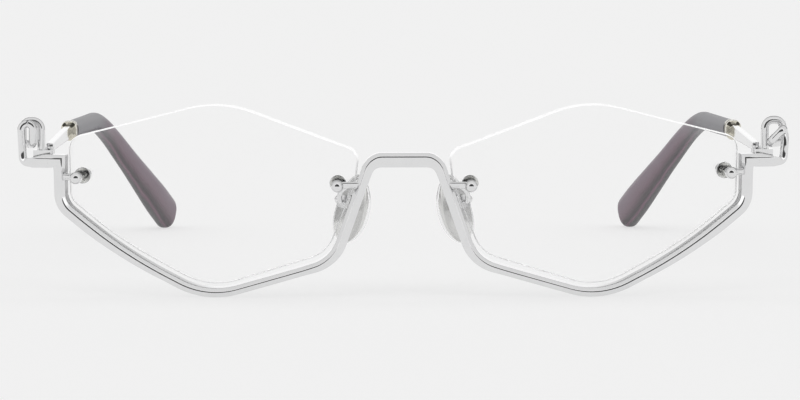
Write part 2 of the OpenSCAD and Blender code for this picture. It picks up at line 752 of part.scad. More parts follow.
// Small metal box: a back plate with a cheek on each side of the stud
module pad_box(side) {
    back_y = pivot_y - 1.2;
    color(silver) at_pad(side) translate([0, 0, pin_up]) difference() {
        union() {
            translate([-cheek_x - cheek_t, back_y, -1.2]) cube([2 * (cheek_x + cheek_t), cheek_t, 2.4]);
            for (x = [-cheek_x - cheek_t, cheek_x]) translate([x, back_y, -1.2]) cube([cheek_t, 1.7, 2.4]);
        }
        translate([-3, pivot_y, 0]) rotate([0, 90, 0]) cylinder(r = pad_pin_r + seat_gap, h = 6);
    }
}

// Ball head screw across the box, its ball on the lens side
module pad_screw(side) {
    cheek_out = cheek_x + cheek_t + seat_gap;
    color(silver) at_pad(side) translate([cheek_out, pivot_y, pin_up]) rotate([0, -90, 0])
        ball_screw(0.9, 0.73, pad_pin_r, 2 * cheek_out + 0.2);
}

// Wire arm from the back of the rim, over and down to the pad box
arm_z = 21.5;
arm_root = on_front(nose_x(arm_z), arm_z) + back_dir(nose_x(arm_z), arm_z) * (wire_depth - braze);
arm_end = pad_point([0, pivot_y - 1.2 + braze, pin_up]);
arm_path = curved([
    arm_root, arm_root + [0.05, 1.6, 0], arm_root + [0.9, 4.2, 0], arm_root + [2.6, 6.7, -1],
    arm_end - pad_axis([0, 1.3, -1.6]), arm_end - pad_axis([0, 0.9, 0]), arm_end
], 3);
module pad_arm(side) {
    normals = carried(arm_path, [1, 0, 0]);
    color(silver) on_side(side) loft([
        for (i = [0:len(arm_path) - 1])
            let (n = normals[i])
            ring(arm_path[i], cross(heading(arm_path, i), n), n, arm_d, arm_d, 1, 8)
    ]);
}

bridge();
rim(1);  // rim_left
rim(-1);  // rim_right
endpiece(1);  // endpiece_left
endpiece(-1);  // endpiece_right
lens(1);  // lens_left
lens(-1);  // lens_right
lens_tab_temple(1);  // lens_tab_temple_left
lens_tab_temple(-1);  // lens_tab_temple_right
lens_tab_nose(1);  // lens_tab_nose_left
lens_tab_nose(-1);  // lens_tab_nose_right
lens_screw_temple(1);  // lens_screw_temple_left
lens_screw_temple(-1);  // lens_screw_temple_right
lens_screw_nose(1);  // lens_screw_nose_left
lens_screw_nose(-1);  // lens_screw_nose_right
lens_nut_temple(1);  // lens_nut_temple_left
lens_nut_temple(-1);  // lens_nut_temple_right
lens_nut_nose(1);  // lens_nut_nose_left
lens_nut_nose(-1);  // lens_nut_nose_right
lens_washers(1);  // lens_washers_left
lens_washers(-1);  // lens_washers_right
pad_arm(1);  // pad_arm_left
pad_arm(-1);  // pad_arm_right
pad_box(1);  // pad_box_left
pad_box(-1);  // pad_box_right
pad_screw(1);  // pad_screw_left
pad_screw(-1);  // pad_screw_right
hinge_leaf_front(1);  // hinge_leaf_front_left
hinge_leaf_front(-1);  // hinge_leaf_front_right
hinge_screw(1);  // hinge_screw_left
hinge_screw(-1);  // hinge_screw_right
nose_pad(1);  // nose_pad_left
nose_pad(-1);  // nose_pad_right
pad_stud(1);  // pad_stud_left
pad_stud(-1);  // pad_stud_right
temple_bar(1);  // temple_bar_left
temple_bar(-1);  // temple_bar_right
hinge_leaf_temple(1);  // hinge_leaf_temple_left
hinge_leaf_temple(-1);  // hinge_leaf_temple_right
ferrule(1);  // ferrule_left
ferrule(-1);  // ferrule_right
temple_tip(1);  // temple_tip_left
temple_tip(-1);  // temple_tip_right
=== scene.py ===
# %% [markdown]
# # Diamond-shaped semi-rimless eyeglasses, standing open on a table
#
# The glasses have a flat polished wire below each lens, a wound wire coil at each hinge, clear
# pads on wire arms, and metal temples that end in smoky acetate tips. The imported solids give
# every place and size. This file gives the looks: smooth surfaces for what the eye follows,
# the materials, a pale floor, soft light and the camera of the photograph.

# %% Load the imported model
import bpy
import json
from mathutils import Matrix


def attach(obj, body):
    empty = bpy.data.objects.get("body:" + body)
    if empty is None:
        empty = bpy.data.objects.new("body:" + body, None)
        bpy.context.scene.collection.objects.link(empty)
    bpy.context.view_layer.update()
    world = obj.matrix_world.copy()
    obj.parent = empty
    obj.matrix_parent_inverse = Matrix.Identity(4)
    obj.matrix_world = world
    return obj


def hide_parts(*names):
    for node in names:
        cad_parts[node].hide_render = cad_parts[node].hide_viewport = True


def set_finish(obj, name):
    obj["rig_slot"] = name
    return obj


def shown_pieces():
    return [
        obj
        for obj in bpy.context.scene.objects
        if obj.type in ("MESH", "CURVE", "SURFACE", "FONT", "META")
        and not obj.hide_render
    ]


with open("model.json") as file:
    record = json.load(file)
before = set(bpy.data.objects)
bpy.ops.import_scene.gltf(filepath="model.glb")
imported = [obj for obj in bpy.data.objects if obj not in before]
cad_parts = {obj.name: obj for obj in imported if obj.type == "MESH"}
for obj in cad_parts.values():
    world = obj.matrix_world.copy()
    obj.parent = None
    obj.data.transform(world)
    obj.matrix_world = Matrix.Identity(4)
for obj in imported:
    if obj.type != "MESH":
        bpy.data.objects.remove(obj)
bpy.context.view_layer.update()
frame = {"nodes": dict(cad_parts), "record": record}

import json
import math
import bpy
import numpy as np
from mathutils import Matrix, Vector

MM = 0.001

# %% [markdown]
# ## Vectors, paths and surfaces
#
# Wire is a section carried along a path, and a lens, a pad or a screw is a stack of closed
# loops. So a few helpers are enough: one rounds the corners of a path, one gives directions
# along it, and one turns rows of points into a closed mesh. All of them work on whole numpy
# arrays in millimetres, and only the last one turns the numbers into metres. A curve object
# with a bevel could sweep the wire too, but it gives no say over where the flat face looks.

# %% Vector and path helpers
SAME = 1e-6
ARC_STEPS = 10


def unit(v):
    """Each vector divided by its own length."""
    v = np.asarray(v, float)
    return v / np.linalg.norm(v, axis=-1, keepdims=True)


def signed_power(v, e):
    """Power of the size of v that keeps the sign of v."""
    return np.sign(v) * np.abs(v) ** e


def corner_arc(a, b, c, r, n):
    """Arc of radius r that touches the lines b-a and b-c, as n steps: its middle lies on the
    line that halves the corner, and its points turn evenly from one touching point to the other."""
    u, v = unit(a - b), unit(c - b)
    corner = math.acos(float(u @ v))
    turn = math.pi - corner
    middle = b + unit(u + v) * r / math.sin(corner / 2)
    start = b + u * r / math.tan(corner / 2) - middle
    end = b + v * r / math.tan(corner / 2) - middle
    f = np.linspace(0, 1, n + 1)[:, None]
    return middle + (np.sin(turn * (1 - f)) * start + np.sin(turn * f) * end) / math.sin(turn)


def rounded_path(points, radii, step):
    """Polyline whose inner corners are arcs, cut so that no two points lie further apart than
    the step, and an arc has at least ARC_STEPS steps."""
    points = [np.asarray(p, float) for p in points]
    parts = [points[0][None]]
    for i in range(1, len(points) - 1):
        a, b, c = points[i - 1], points[i], points[i + 1]
        r = radii[i - 1]
        turn = math.pi - math.acos(float(unit(a - b) @ unit(c - b)))
        parts.append(corner_arc(a, b, c, r, max(ARC_STEPS, math.ceil(r * turn / step))))
    parts.append(points[-1][None])
    rough = np.concatenate(parts)
    gap = np.linalg.norm(np.diff(rough, axis=0), axis=1)
    keep = np.concatenate([[True], gap > SAME])
    rough, gap = rough[keep], gap[keep[1:]]
    cuts = np.maximum(1, np.ceil(gap / step).astype(int))
    at = np.concatenate([np.linspace(i, i + 1, n, endpoint=False) for i, n in enumerate(cuts)]
                        + [[len(rough) - 1.0]])
    i = np.minimum(at.astype(int), len(rough) - 2)
    return rough[i] + (rough[i + 1] - rough[i]) * (at - i)[:, None]


def headings(path):
    """Direction of travel at each point: halfway between the directions of the two steps that
    meet there."""
    step = unit(np.diff(path, axis=0))
    return unit(np.vstack([step[:1], step]) + np.vstack([step, step[-1:]]))


def mitres(path):
    """Share by which a section is widened at each point, so that the strip keeps its width round
    a corner: one over the cosine of half the turn there."""
    step = unit(np.diff(path, axis=0))
    turn = (np.vstack([step[:1], step]) * np.vstack([step, step[-1:]])).sum(-1)
    return np.sqrt(2 / (1 + turn))


def runs(path):
    """Distance along the path up to each point."""
    return np.concatenate([[0], np.cumsum(np.linalg.norm(np.diff(path, axis=0), axis=1))])


def carried(path, first):
    """Normal taken along a path without twisting: at each station the last one is laid flat on
    the plane across the direction of travel."""
    along = headings(path)
    out = [np.asarray(first, float)]
    for t in along:
        out.append(unit(out[-1] - t * (out[-1] @ t)))
    return np.array(out[1:])

print("wire helpers ready")

# %% Rows of points become a closed mesh
def mirrored(points, side):
    """Points of the wearer's left, or their mirror image for the right."""
    return points * np.array([side, 1, 1])


def add_mesh(name, points, faces, side, sharp=None):
    """Mesh object in metres from points in millimetres. A mirror image turns its faces round, so
    that they still look outwards, and edges sharper than the given angle stay crisp."""
    points = mirrored(np.asarray(points, float), side)
    points[:, 1] -= MID_Y
    if side < 0:
        faces = [f[::-1] for f in faces]
    mesh = bpy.data.meshes.new(name)
    mesh.from_pydata((points * MM).tolist(), [], faces)
    mesh.polygons.foreach_set("use_smooth", np.ones(len(mesh.polygons), bool))
    if sharp is not None:
        mesh.set_sharp_from_angle(angle=math.radians(sharp))
    mesh.update()
    piece = bpy.data.objects.new(name, mesh)
    bpy.context.scene.collection.objects.link(piece)
    print(f"{name}: {len(mesh.vertices)} points, {len(mesh.polygons)} faces")
    return piece


def shell_of_rows(rows, start=None, end=None):
    """Points and faces of a closed surface: each row of points is a loop, neighbouring rows are
    joined by quads, and each end is drawn together to a pole, by default the middle of its row."""
    rows = np.asarray(rows, float)
    m, n, _ = rows.shape
    start = rows[0].mean(0) if start is None else start
    end = rows[-1].mean(0) if end is None else end
    points = np.concatenate([rows.reshape(-1, 3), [start, end]])
    i, k = np.meshgrid(np.arange(m - 1), np.arange(n), indexing="ij")
    a, b = i * n + k, i * n + (k + 1) % n
    quads = np.stack([a, b, b + n, a + n], -1).reshape(-1, 4)
    k = np.arange(n)
    first = np.stack([np.full(n, m * n), (k + 1) % n, k], -1)
    last = np.stack([np.full(n, m * n + 1), (m - 1) * n + k, (m - 1) * n + (k + 1) % n], -1)
    return points, quads.tolist() + first.tolist() + last.tolist()

print("mesh helpers ready")

# %% [markdown]
# ## Sizes, and the bowed front
#
# The front is bowed like a face and leans forward a little at its top. All of its pieces hang
# on one surface: a height over the front elevation, with a slope that grows away from the
# middle of each lens. The sizes are those of the solids, so that each smooth piece lies where
# its solid lies.

# %% Sizes in millimetres
TILT, WRAP = math.radians(5), math.radians(7)
BOW_R = 230.0
LENS_MIDDLE = np.array([35.0, 17.6])
NOSE_FLAT = 9.0
WIRE_DEPTH, BEVEL = 2.4, 0.6
BOTTOM_W, SIDE_W, NOSE_W, BRIDGE_W, BAND_W = 0.96, 1.4, 1.4, 2.0, 1.85
BRIDGE_Z, BRIDGE_HALF, JOINT_Z = 25.3, 5.9, 22.3
NOSE_CORNER = np.array([12.6, 6.4])
LOW = np.array([36.5, -0.655])
SLANT = np.array([53.8, 8.3])
SIDE_X, SIDE_LOW_Z, BAND_Z = 64.15, 16.8, 24.72
BAND_START = SIDE_X + 1.85
MID_Y = 70.7178


def bow(x):
    """Distance sideways from the middle of the lens; the nose part is flat."""
    return np.maximum(np.abs(x), NOSE_FLAT) - LENS_MIDDLE[0]


def front_y(x, z):
    """Height of the front surface: the lean, the turn towards the temple and the bow together."""
    return (-z * math.tan(TILT) + math.tan(WRAP) * bow(x)
            + (bow(x) ** 2 + (z - LENS_MIDDLE[1]) ** 2) / (2 * BOW_R))


def slopes(x, z):
    """Rise of the front surface sideways and upwards."""
    across = np.where(np.abs(x) < NOSE_FLAT, 0.0, np.sign(x) * (math.tan(WRAP) + bow(x) / BOW_R))
    return across, -math.tan(TILT) + (z - LENS_MIDDLE[1]) / BOW_R


def back_dir(x, z):
    """Direction straight back through the front surface."""
    across, up = slopes(x, z)
    return unit(np.stack([-across, np.ones_like(across), -up], -1))


def on_front(x, z):
    """Point of the front surface over x and z."""
    return np.stack([x, front_y(x, z), z], -1)

depth_of_bow = float(front_y(SIDE_X, SIDE_LOW_Z) - front_y(NOSE_FLAT, SIDE_LOW_Z))
print("front bows", round(depth_of_bow, 2), "mm from nose to side")

# %% [markdown]
# ## The flat wire
#
# The rims, the bridge and the end bands are one strip of wire, polished after it was bent. Seen
# from the front it is a flat face with a bevel on the lens side, and the ridge between the two
# catches a thin dark line. A plain box profile with a Bevel modifier would round all edges
# alike, so the section is written out: five corners, each with its own radius, and extra
# points near each corner that keep the faces flat in the shading.

# %% Cross-section of the wire
CORNER_SHARES = np.linspace(0, 1, 6)
FACE_SHARES = np.array([0.1, 0.5, 0.9])
MOST_OF_SIDE = 0.45
STRAIGHT = 0.999999
WIRE_RADII = [0.18, 0.12, 0.12, 0.14, 0.5]


def soft_section(corners, radii):
    """Loops of points round the given corners, for all stations at once: each corner is an arc
    between its touching points, and each side has three points of its own. A radius gives way
    where a side is too short for it."""
    corners = np.asarray(corners, float)
    back = np.roll(corners, 1, axis=1)
    ahead = np.roll(corners, -1, axis=1)
    to_back, to_ahead = unit(back - corners), unit(ahead - corners)
    half = np.arccos(np.clip((to_back * to_ahead).sum(-1), -STRAIGHT, STRAIGHT)) / 2
    room = MOST_OF_SIDE * np.minimum(np.linalg.norm(back - corners, axis=-1),
                                     np.linalg.norm(ahead - corners, axis=-1))
    touch = np.minimum(np.asarray(radii)[None] / np.tan(half), room)
    r = touch * np.tan(half)
    middle = corners + unit(to_back + to_ahead) * (r / np.sin(half))[..., None]
    start = corners + to_back * touch[..., None] - middle
    end = corners + to_ahead * touch[..., None] - middle
    turn = (math.pi - 2 * half)[..., None, None]
    f = CORNER_SHARES[None, None, :, None]
    arc = np.sin(turn * (1 - f)) * start[:, :, None] + np.sin(turn * f) * end[:, :, None]
    arc = arc / np.sin(turn) + middle[:, :, None]
    leave, arrive = arc[:, :, -1:], np.roll(arc, -1, axis=1)[:, :, :1]
    face = leave + (arrive - leave) * FACE_SHARES[None, None, :, None]
    return np.concatenate([arc, face], axis=2).reshape(len(corners), -1, 2)


def wire_section(w, depth, bevel):
    """Section of the flat wire as (towards the lens, back), with five corners: the bevel's inner
    edge, the two back edges, the outer front edge and the ridge between face and bevel. The
    ridge has the largest radius, because polishing wears it most."""
    w, depth, bevel = np.broadcast_arrays(w, depth, bevel)
    o, i = w / 2, w / 2 + bevel
    zero = np.zeros_like(o)
    corners = np.stack([
        np.stack([i, bevel], -1), np.stack([i, depth], -1), np.stack([-o, depth], -1),
        np.stack([-o, zero], -1), np.stack([o, zero], -1)], 1)
    return soft_section(corners, WIRE_RADII)


def placed(centre, u, v, section):
    """Section points carried to their places: so far along u and so far along v."""
    return centre[:, None] + u[:, None] * section[..., :1] + v[:, None] * section[..., 1:]


def wire_rows(path, w, depth, bevel):
    """Loops of the flat wire along a path over the front elevation."""
    x, z = path[:, 0], path[:, 1]
    d = headings(path)
    across, up = slopes(x, z)
    along = unit(np.stack([d[:, 0], across * d[:, 0] + up * d[:, 1], d[:, 1]], -1))
    n = back_dir(x, z)
    widening = np.stack([mitres(path), np.ones(len(path))], -1)[:, None]
    section = wire_section(w, depth, bevel) * widening
    return placed(on_front(x, z), np.cross(along, n), n, section)

print("wire section has", wire_section(np.array([SIDE_W]), WIRE_DEPTH, BEVEL).shape[1], "points")

# %% [markdown]
# ### Rims
#
# Each rim runs from beside the bridge down past the nose, under the lens and up its outer
# side, with four bends of different softness, and turns out into the end band at a sharp mitre.
# Its face is narrow along the bottom and wide at both ends, as pressed wire is, so the width is
# looked up by the share of the length. A Bevel on a curve would keep one width all along.

# %% Rims
LOW_R = 15
RIM_RADII = [8, LOW_R, 90, 4.6, 0]
MITRE_ROOM = 1.0
RIM_WIDTHS = np.array([
    (0, NOSE_W), (0.17, NOSE_W), (0.27, BOTTOM_W), (0.6, BOTTOM_W),
    (0.76, 0.25 * BOTTOM_W + 0.75 * SIDE_W), (0.8, SIDE_W), (0.95, SIDE_W), (1, BAND_W)])
nose_line = NOSE_CORNER - np.array([BRIDGE_HALF, BRIDGE_Z])
joint = np.array([BRIDGE_HALF, BRIDGE_Z]) - nose_line * (BRIDGE_Z - JOINT_Z) / nose_line[1]


def rim_path(step=0.8):
    """Centre line of a rim over the front elevation. The last corner is a sharp mitre, so it has
    no other point near it."""
    mitre = [SIDE_X, BAND_Z]
    corners = [joint, NOSE_CORNER, LOW, SLANT, [SIDE_X, SIDE_LOW_Z], mitre, [BAND_START, BAND_Z]]
    path = rounded_path(corners, RIM_RADII, step)
    away = np.linalg.norm(path - mitre, axis=1)
    return path[(away > MITRE_ROOM) | (away < SAME)]


def rim_rows():
    """Loops of a rim, with the width of the face by the share of the length."""
    path = rim_path()
    share = runs(path) / runs(path)[-1]
    return wire_rows(path, np.interp(share, *RIM_WIDTHS.T), WIRE_DEPTH, BEVEL)


for side, word in ((1, "left"), (-1, "right")):
    rim = add_mesh(f"rim_wire_{word}", *shell_of_rows(rim_rows()), side, sharp=50)
    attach(rim, "front")
    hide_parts(f"rim_{word}")
    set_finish(rim, "polished_silver")

# %% [markdown]
# ### Bridge
#
# The bridge is the same strip, a little wider, bent into a low arch with square shoulders. It
# meets each rim with the rim's own section, so that the two look like one wire.

# %% Bridge
BRIDGE_R, BRIDGE_EASE = 2.7, 1.4
bridge_corners = [[-joint[0], joint[1]], [-BRIDGE_HALF, BRIDGE_Z], [BRIDGE_HALF, BRIDGE_Z], joint]
bridge_path = rounded_path(bridge_corners, [BRIDGE_R, BRIDGE_R], 0.5)
arch = np.interp(np.abs(bridge_path[:, 0]), [BRIDGE_HALF - BRIDGE_EASE, joint[0]], [1, 0])
bridge_rows = wire_rows(bridge_path, NOSE_W + (BRIDGE_W - NOSE_W) * arch, WIRE_DEPTH, BEVEL)
bridge = add_mesh("bridge_wire", *shell_of_rows(bridge_rows), 1, sharp=50)
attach(bridge, "front")
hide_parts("bridge")
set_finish(bridge, "polished_silver")

# %% [markdown]
# ### Wound endpieces
#
# Past the rim the flat band turns up and becomes a round wire that winds two turns back into
# the hinge. The two sides are wound by hand and differ. The route is a row of straight runs
# with bends between them, and the section changes from flat to round on the way, by mixing
# the two loops point by point. A corner of a route is given as shares: outwards over the
# coil's span, back in steps of its pitch, up over its height, and then the bend's radius.

# %% Endpieces
COIL_X, COIL_SPAN, COIL_TOP, COIL_PITCH, COIL_D = 71.1, 3.45, 32.25, 2.4, 1.5
HINGE_Z, KNUCKLE_H, RUN_GAP = 23.9, 0.96, 0.05
LEAF_TOP = HINGE_Z + 3 * KNUCKLE_H + 2 * RUN_GAP
COIL_BACK = 0.08
BAND_BENDS = [4, 4, 1.1]
ROUNDING, BEVEL_END, LEAST_BEVEL = [3, 6.5], [0.6, 3.4], 0.06
COIL_HOOK = [(1, 0, .93, 1.2), (.36, 0, .93, 1), (.38, .13, .2, .9), (.6, 1, .2, .9),
             (1, 1.07, .2, .8), (1, 1.03, 1, 1.5), (0, .98, 1, 1.5)]
COIL_CROSS = [(1, 0, .28, 4), (.97, .46, .72, .9), (.84, -.5, .72, .8), (.1, -.16, .21, .9),
              (.97, 1.38, .21, 1), (1, 1.2, 1, 1.5), (0, .98, 1, 1.5)]


def band_point(x):
    """Middle of the end band, half of the wire's depth behind the front."""
    x, z = np.float64(x), np.float64(BAND_Z)
    return on_front(x, z) + back_dir(x, z) * WIRE_DEPTH / 2


def coil_path(shape):
    """Route of one endpiece, from the rim's end to the top of the hinge."""
    base = band_point(COIL_X)[1] + COIL_BACK
    leaf = (0, .98, 0)
    spots = [np.array([COIL_X - COIL_SPAN * (1 - s[0]), base + COIL_PITCH * s[1],
                       LEAF_TOP + (COIL_TOP - LEAF_TOP) * s[2]]) for s in shape + [leaf]]
    band = [band_point(x) for x in (BAND_START, BAND_START + 1.2, BAND_START + 2.6, COIL_X)]
    return rounded_path(band + spots, BAND_BENDS + [s[3] for s in shape], 0.35)


def coil_rows(shape):
    """Loops of an endpiece: the bevel runs out, then the flat section turns into a round one."""
    path = coil_path(shape)
    s = runs(path)
    n = carried(path, back_dir(np.float64(BAND_START), np.float64(BAND_Z)))
    f = np.interp(s, ROUNDING, [0, 1])
    w = BAND_W + (COIL_D - BAND_W) * f
    depth = WIRE_DEPTH + (COIL_D - WIRE_DEPTH) * f
    bevel = np.maximum(BEVEL * np.interp(s, BEVEL_END, [1, 0]), LEAST_BEVEL)
    flat = wire_section(w, depth, bevel)
    flat[..., 1] -= depth[:, None] / 2
    turn = np.arctan2(flat[..., 1], flat[..., 0])
    soft = COIL_D / 2 * np.stack([np.cos(turn), np.sin(turn)], -1)
    section = flat + (soft - flat) * f[:, None, None]
    return placed(path, np.cross(headings(path), n), n, section)


for side, word, shape in ((1, "left", COIL_CROSS), (-1, "right", COIL_HOOK)):
    coil = add_mesh(f"wound_endpiece_{word}", *shell_of_rows(coil_rows(shape)), side, sharp=50)
    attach(coil, "front")
    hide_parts(f"endpiece_{word}")
    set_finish(coil, "polished_silver")

# %% [markdown]
# ## Lenses
#
# Each lens is 2 mm of clear plastic with both faces bowed round one centre, and an edge that
# was ground and lightly polished; with a painted glow on its upper part it reads as a white line.
# A Boolean of two spheres gives the solid its shape, but its facets would break up the
# reflections. Here both faces are grids that follow the outline from the middle outwards, on
# exact spheres, with a small chamfer.

# %% Lens outline
LENS_T, LENS_GAP, LENS_LOW_GAP, LENS_CHAMFER = 2.0, 0.53, 0.78, 0.13
LENS_NOSE_TOP, LENS_TOP, LENS_SIDE_TOP_Z = (8.6, 26.9), (33.6, 36.4), 29
NOSE_SCREW_X, NOSE_SCREW_Z = 12.25, 20.95
OUTLINE_POINTS = 320
TAB_Y, TAB_T, SEAT_GAP, WASHER_T, LENS_SEAT = 0.3, 0.8, 0.02, 0.16, 0.03
LENS_SET = TAB_Y + TAB_T + SEAT_GAP + WASHER_T + LENS_SEAT


def nose_x(z):
    """Middle of the nose part of the rim at one height."""
    return BRIDGE_HALF - (BRIDGE_Z - z) * nose_line[0] / nose_line[1]


def lens_outline():
    """Closed outline over the front elevation, with eight rounded corners: the wire's inner edge
    drawn in by a gap, and a soft peak over the top. Its points lie evenly along it."""
    side_in = SIDE_W / 2 + BEVEL + LENS_GAP
    low_in = BOTTOM_W / 2 + BEVEL + LENS_LOW_GAP
    nose_in = (NOSE_W / 2 + BEVEL + LENS_GAP) * float(np.linalg.norm(nose_line)) / -nose_line[1]
    corners = [np.array(c, float) for c in (
        LENS_NOSE_TOP, (nose_x(NOSE_SCREW_Z) + nose_in, NOSE_SCREW_Z),
        (NOSE_CORNER[0] + nose_in * 1.05, NOSE_CORNER[1] + low_in * 0.9),
        (LOW[0], LOW[1] + low_in * 1.03), (SLANT[0] - side_in * 0.4, SLANT[1] + low_in * 1.05),
        (SIDE_X - side_in, SIDE_LOW_Z + side_in * 0.5), (SIDE_X - side_in, LENS_SIDE_TOP_Z),
        LENS_TOP)]
    radii = [2.6, 12, 6.4, LOW_R - low_in, 80, 3.4, 2.6, 20]
    following = corners[1:] + corners[:1]
    arcs = [corner_arc(corners[i - 1], corners[i], following[i], radii[i], 14)
            for i in range(len(corners))]
    loop = np.concatenate(arcs + [arcs[0][:1]])
    s = runs(loop)
    even = np.linspace(0, s[-1], OUTLINE_POINTS, endpoint=False)
    return np.stack([np.interp(even, s, loop[:, 0]), np.interp(even, s, loop[:, 1])], -1)

print("lens outline", np.ptp(lens_outline(), axis=0).round(2), "mm wide and high")

# %% Lens faces and edge
def lens_frame():
    """Axes at the middle of the lens: across, straight back and up."""
    n = back_dir(*LENS_MIDDLE)
    a, b = math.atan2(-n[0], n[1]), math.asin(n[2])
    across = np.array([math.cos(a), math.sin(a), 0])
    up = np.array([math.sin(a) * math.sin(b), -math.cos(a) * math.sin(b), math.cos(b)])
    return on_front(*LENS_MIDDLE), across, n, up


def lens_point(flat, r):
    """Point of the face of bow radius r over a flat point of the lens's own plane."""
    origin, across, back, up = lens_frame()
    depth = BOW_R + LENS_SET - np.sqrt(r ** 2 - (flat ** 2).sum(-1))
    return origin + flat[..., :1] * across + depth[..., None] * back + flat[..., 1:] * up


def lens_rows():
    """Loops from the middle of the front face out to its edge, and back in over the other face,
    with the number of loops in the front face."""
    outline = (lens_outline() - LENS_MIDDLE) / [math.cos(WRAP), math.cos(TILT)]
    ahead, behind = np.roll(outline, -1, axis=0), np.roll(outline, 1, axis=0)
    t = unit(ahead - behind)
    inward = np.stack([t[:, 1], -t[:, 0]], -1)
    inward *= np.sign((-outline * inward).sum(-1, keepdims=True))
    eased = outline + LENS_CHAMFER * inward
    shares = np.concatenate([np.linspace(0.08, 0.96, 12), [0.985]])
    inner = BOW_R - LENS_T
    front = [lens_point(eased * s, BOW_R) for s in shares] + [lens_point(eased, BOW_R)]
    back = [lens_point(eased, inner)] + [lens_point(eased * s, inner) for s in shares[::-1]]
    near, far = lens_point(outline, BOW_R), lens_point(outline, inner)
    edge = [near + (far - near) * s for s in (0.07, 0.4, 0.6, 0.93)]
    return np.array(front + edge + back), len(front)


lens_loops, edge_row = lens_rows()
poles = [lens_point(np.zeros(2), BOW_R), lens_point(np.zeros(2), BOW_R - LENS_T)]
for side, word in ((1, "left"), (-1, "right")):
    shape = shell_of_rows(lens_loops[:, ::-1], *poles)
    lens = add_mesh(f"clear_lens_{word}", *shape, side, sharp=25)
    strip = np.zeros(len(lens.data.polygons), int)
    strip[(edge_row - 1) * OUTLINE_POINTS:(edge_row + 4) * OUTLINE_POINTS] = 1
    lens["edge_faces"] = 1
    lens.data.polygons.foreach_set("material_index", strip)
    lens.visible_shadow = False
    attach(lens, "front")
    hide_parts(f"lens_{word}")
    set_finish(lens, "clear_lens")

# %% [markdown]
# ## Turned fixings
#
# Ball head screws and round nuts hold the lenses and the pads. They are turned on a lathe, so
# each is a profile of radius over height that is swept round an axis in even steps. A Screw
# modifier sweeps a profile as well, but only round one of the object's own axes, and these
# screws stand square on the bowed front.

# %% Turned parts
BALL_R, BALL_CUT, SHANK_R, TIP_EASE = 1.15, 0.85, 0.5, 0.08
HEAD_LIFT, BACK_WASHER_T, NUT_LEN = 0.28, 0.3, 1.7


def turned_rows(profile, origin, across, axis, sides=40):
    """Loops of a turned part: the profile's radius round the axis, at the profile's height."""
    profile = np.asarray(profile, float)
    other = np.cross(axis, across)
    a = np.linspace(0, 2 * math.pi, sides, endpoint=False)
    spokes = np.cos(a)[:, None] * across + np.sin(a)[:, None] * other
    r, height = profile[:, 0, None, None], profile[:, 1, None, None]
    return origin + height * axis + r * spokes[None]


def ball_profile(ball, neck, shank, length):
    """Radius and height of a ball head that is cut flat at its neck, with a plain shank."""
    a = np.linspace(0.06, math.acos(-neck / ball), 18)
    head = np.stack([ball * np.sin(a), -neck - ball * np.cos(a)], -1)
    rest = [(shank, 0), (shank, length * 0.5), (shank, length - TIP_EASE),
            (shank - TIP_EASE, length)]
    return np.concatenate([head, rest])


def lens_face(x, z, r):
    """Depth of a lens face below the front surface, along the axis of a lens screw."""
    origin, _, back, _ = lens_frame()
    x, z = np.float64(x), np.float64(z)
    q = on_front(x, z) - (origin + back * (BOW_R + LENS_SET))
    b = float(q @ back_dir(x, z))
    return -b - math.sqrt(b * b - float(q @ q) + r * r)


def screw_axes(x, z):
    """Origin, sideways axis and straight back axis of a lens screw."""
    x, z = np.float64(x), np.float64(z)
    back = back_dir(x, z)
    return on_front(x, z), unit(np.cross(back, [0, 0, 1])), back


NUT = [(0.52, 0), (1.5, 0), (1.55, 0.05), (1.55, 0.45), (1.5, 0.5), (1.15, 0.5), (1.15, 0.7),
       (1.25, 0.7), (1.3, 0.75), (1.3, 1.43), (1.07, NUT_LEN), (0.52, NUT_LEN)]
TEMPLE_SCREW_X = 60.35
SCREW_SPOTS = [
    (1, "left", "temple", TEMPLE_SCREW_X, 22.9),
    (1, "left", "nose", NOSE_SCREW_X, NOSE_SCREW_Z),
    (-1, "right", "temple", TEMPLE_SCREW_X, 22.1),
    (-1, "right", "nose", NOSE_SCREW_X, NOSE_SCREW_Z)]
for side, word, part, x, z in SCREW_SPOTS:
    origin, across, back = screw_axes(x, z)
    nut_at = lens_face(x, z, BOW_R - LENS_T) + LENS_SEAT + BACK_WASHER_T + SEAT_GAP
    screw = ball_profile(BALL_R, BALL_R * BALL_CUT, SHANK_R, nut_at + NUT_LEN)
    for made, profile, lift, node in (("ball_screw", screw, HEAD_LIFT, "lens_screw"),
                                      ("round_nut", NUT, nut_at, "lens_nut")):
        loops = turned_rows(profile, origin + back * lift, across, back)[:, ::-1]
        piece = add_mesh(f"{made}_{part}_{word}", *shell_of_rows(loops), side, sharp=32)
        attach(piece, "front")
        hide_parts(f"{node}_{part}_{word}")
        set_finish(piece, "polished_silver")

# %% [markdown]
# ### Lens tabs
#
# A short strip with a round eye is brazed to the wire at each screw and carries the lens. It
# could be a flat plate with a Bevel modifier, but its polished edges take up most of its
# thickness. So its outline is worked out once and stacked, drawn in along a quarter circle at
# the front and at the back.

# %% Lens tabs
TAB_H, TAB_EDGE_R, EYE_R, BRAZE = 1.25, 0.3, 0.825, 0.2


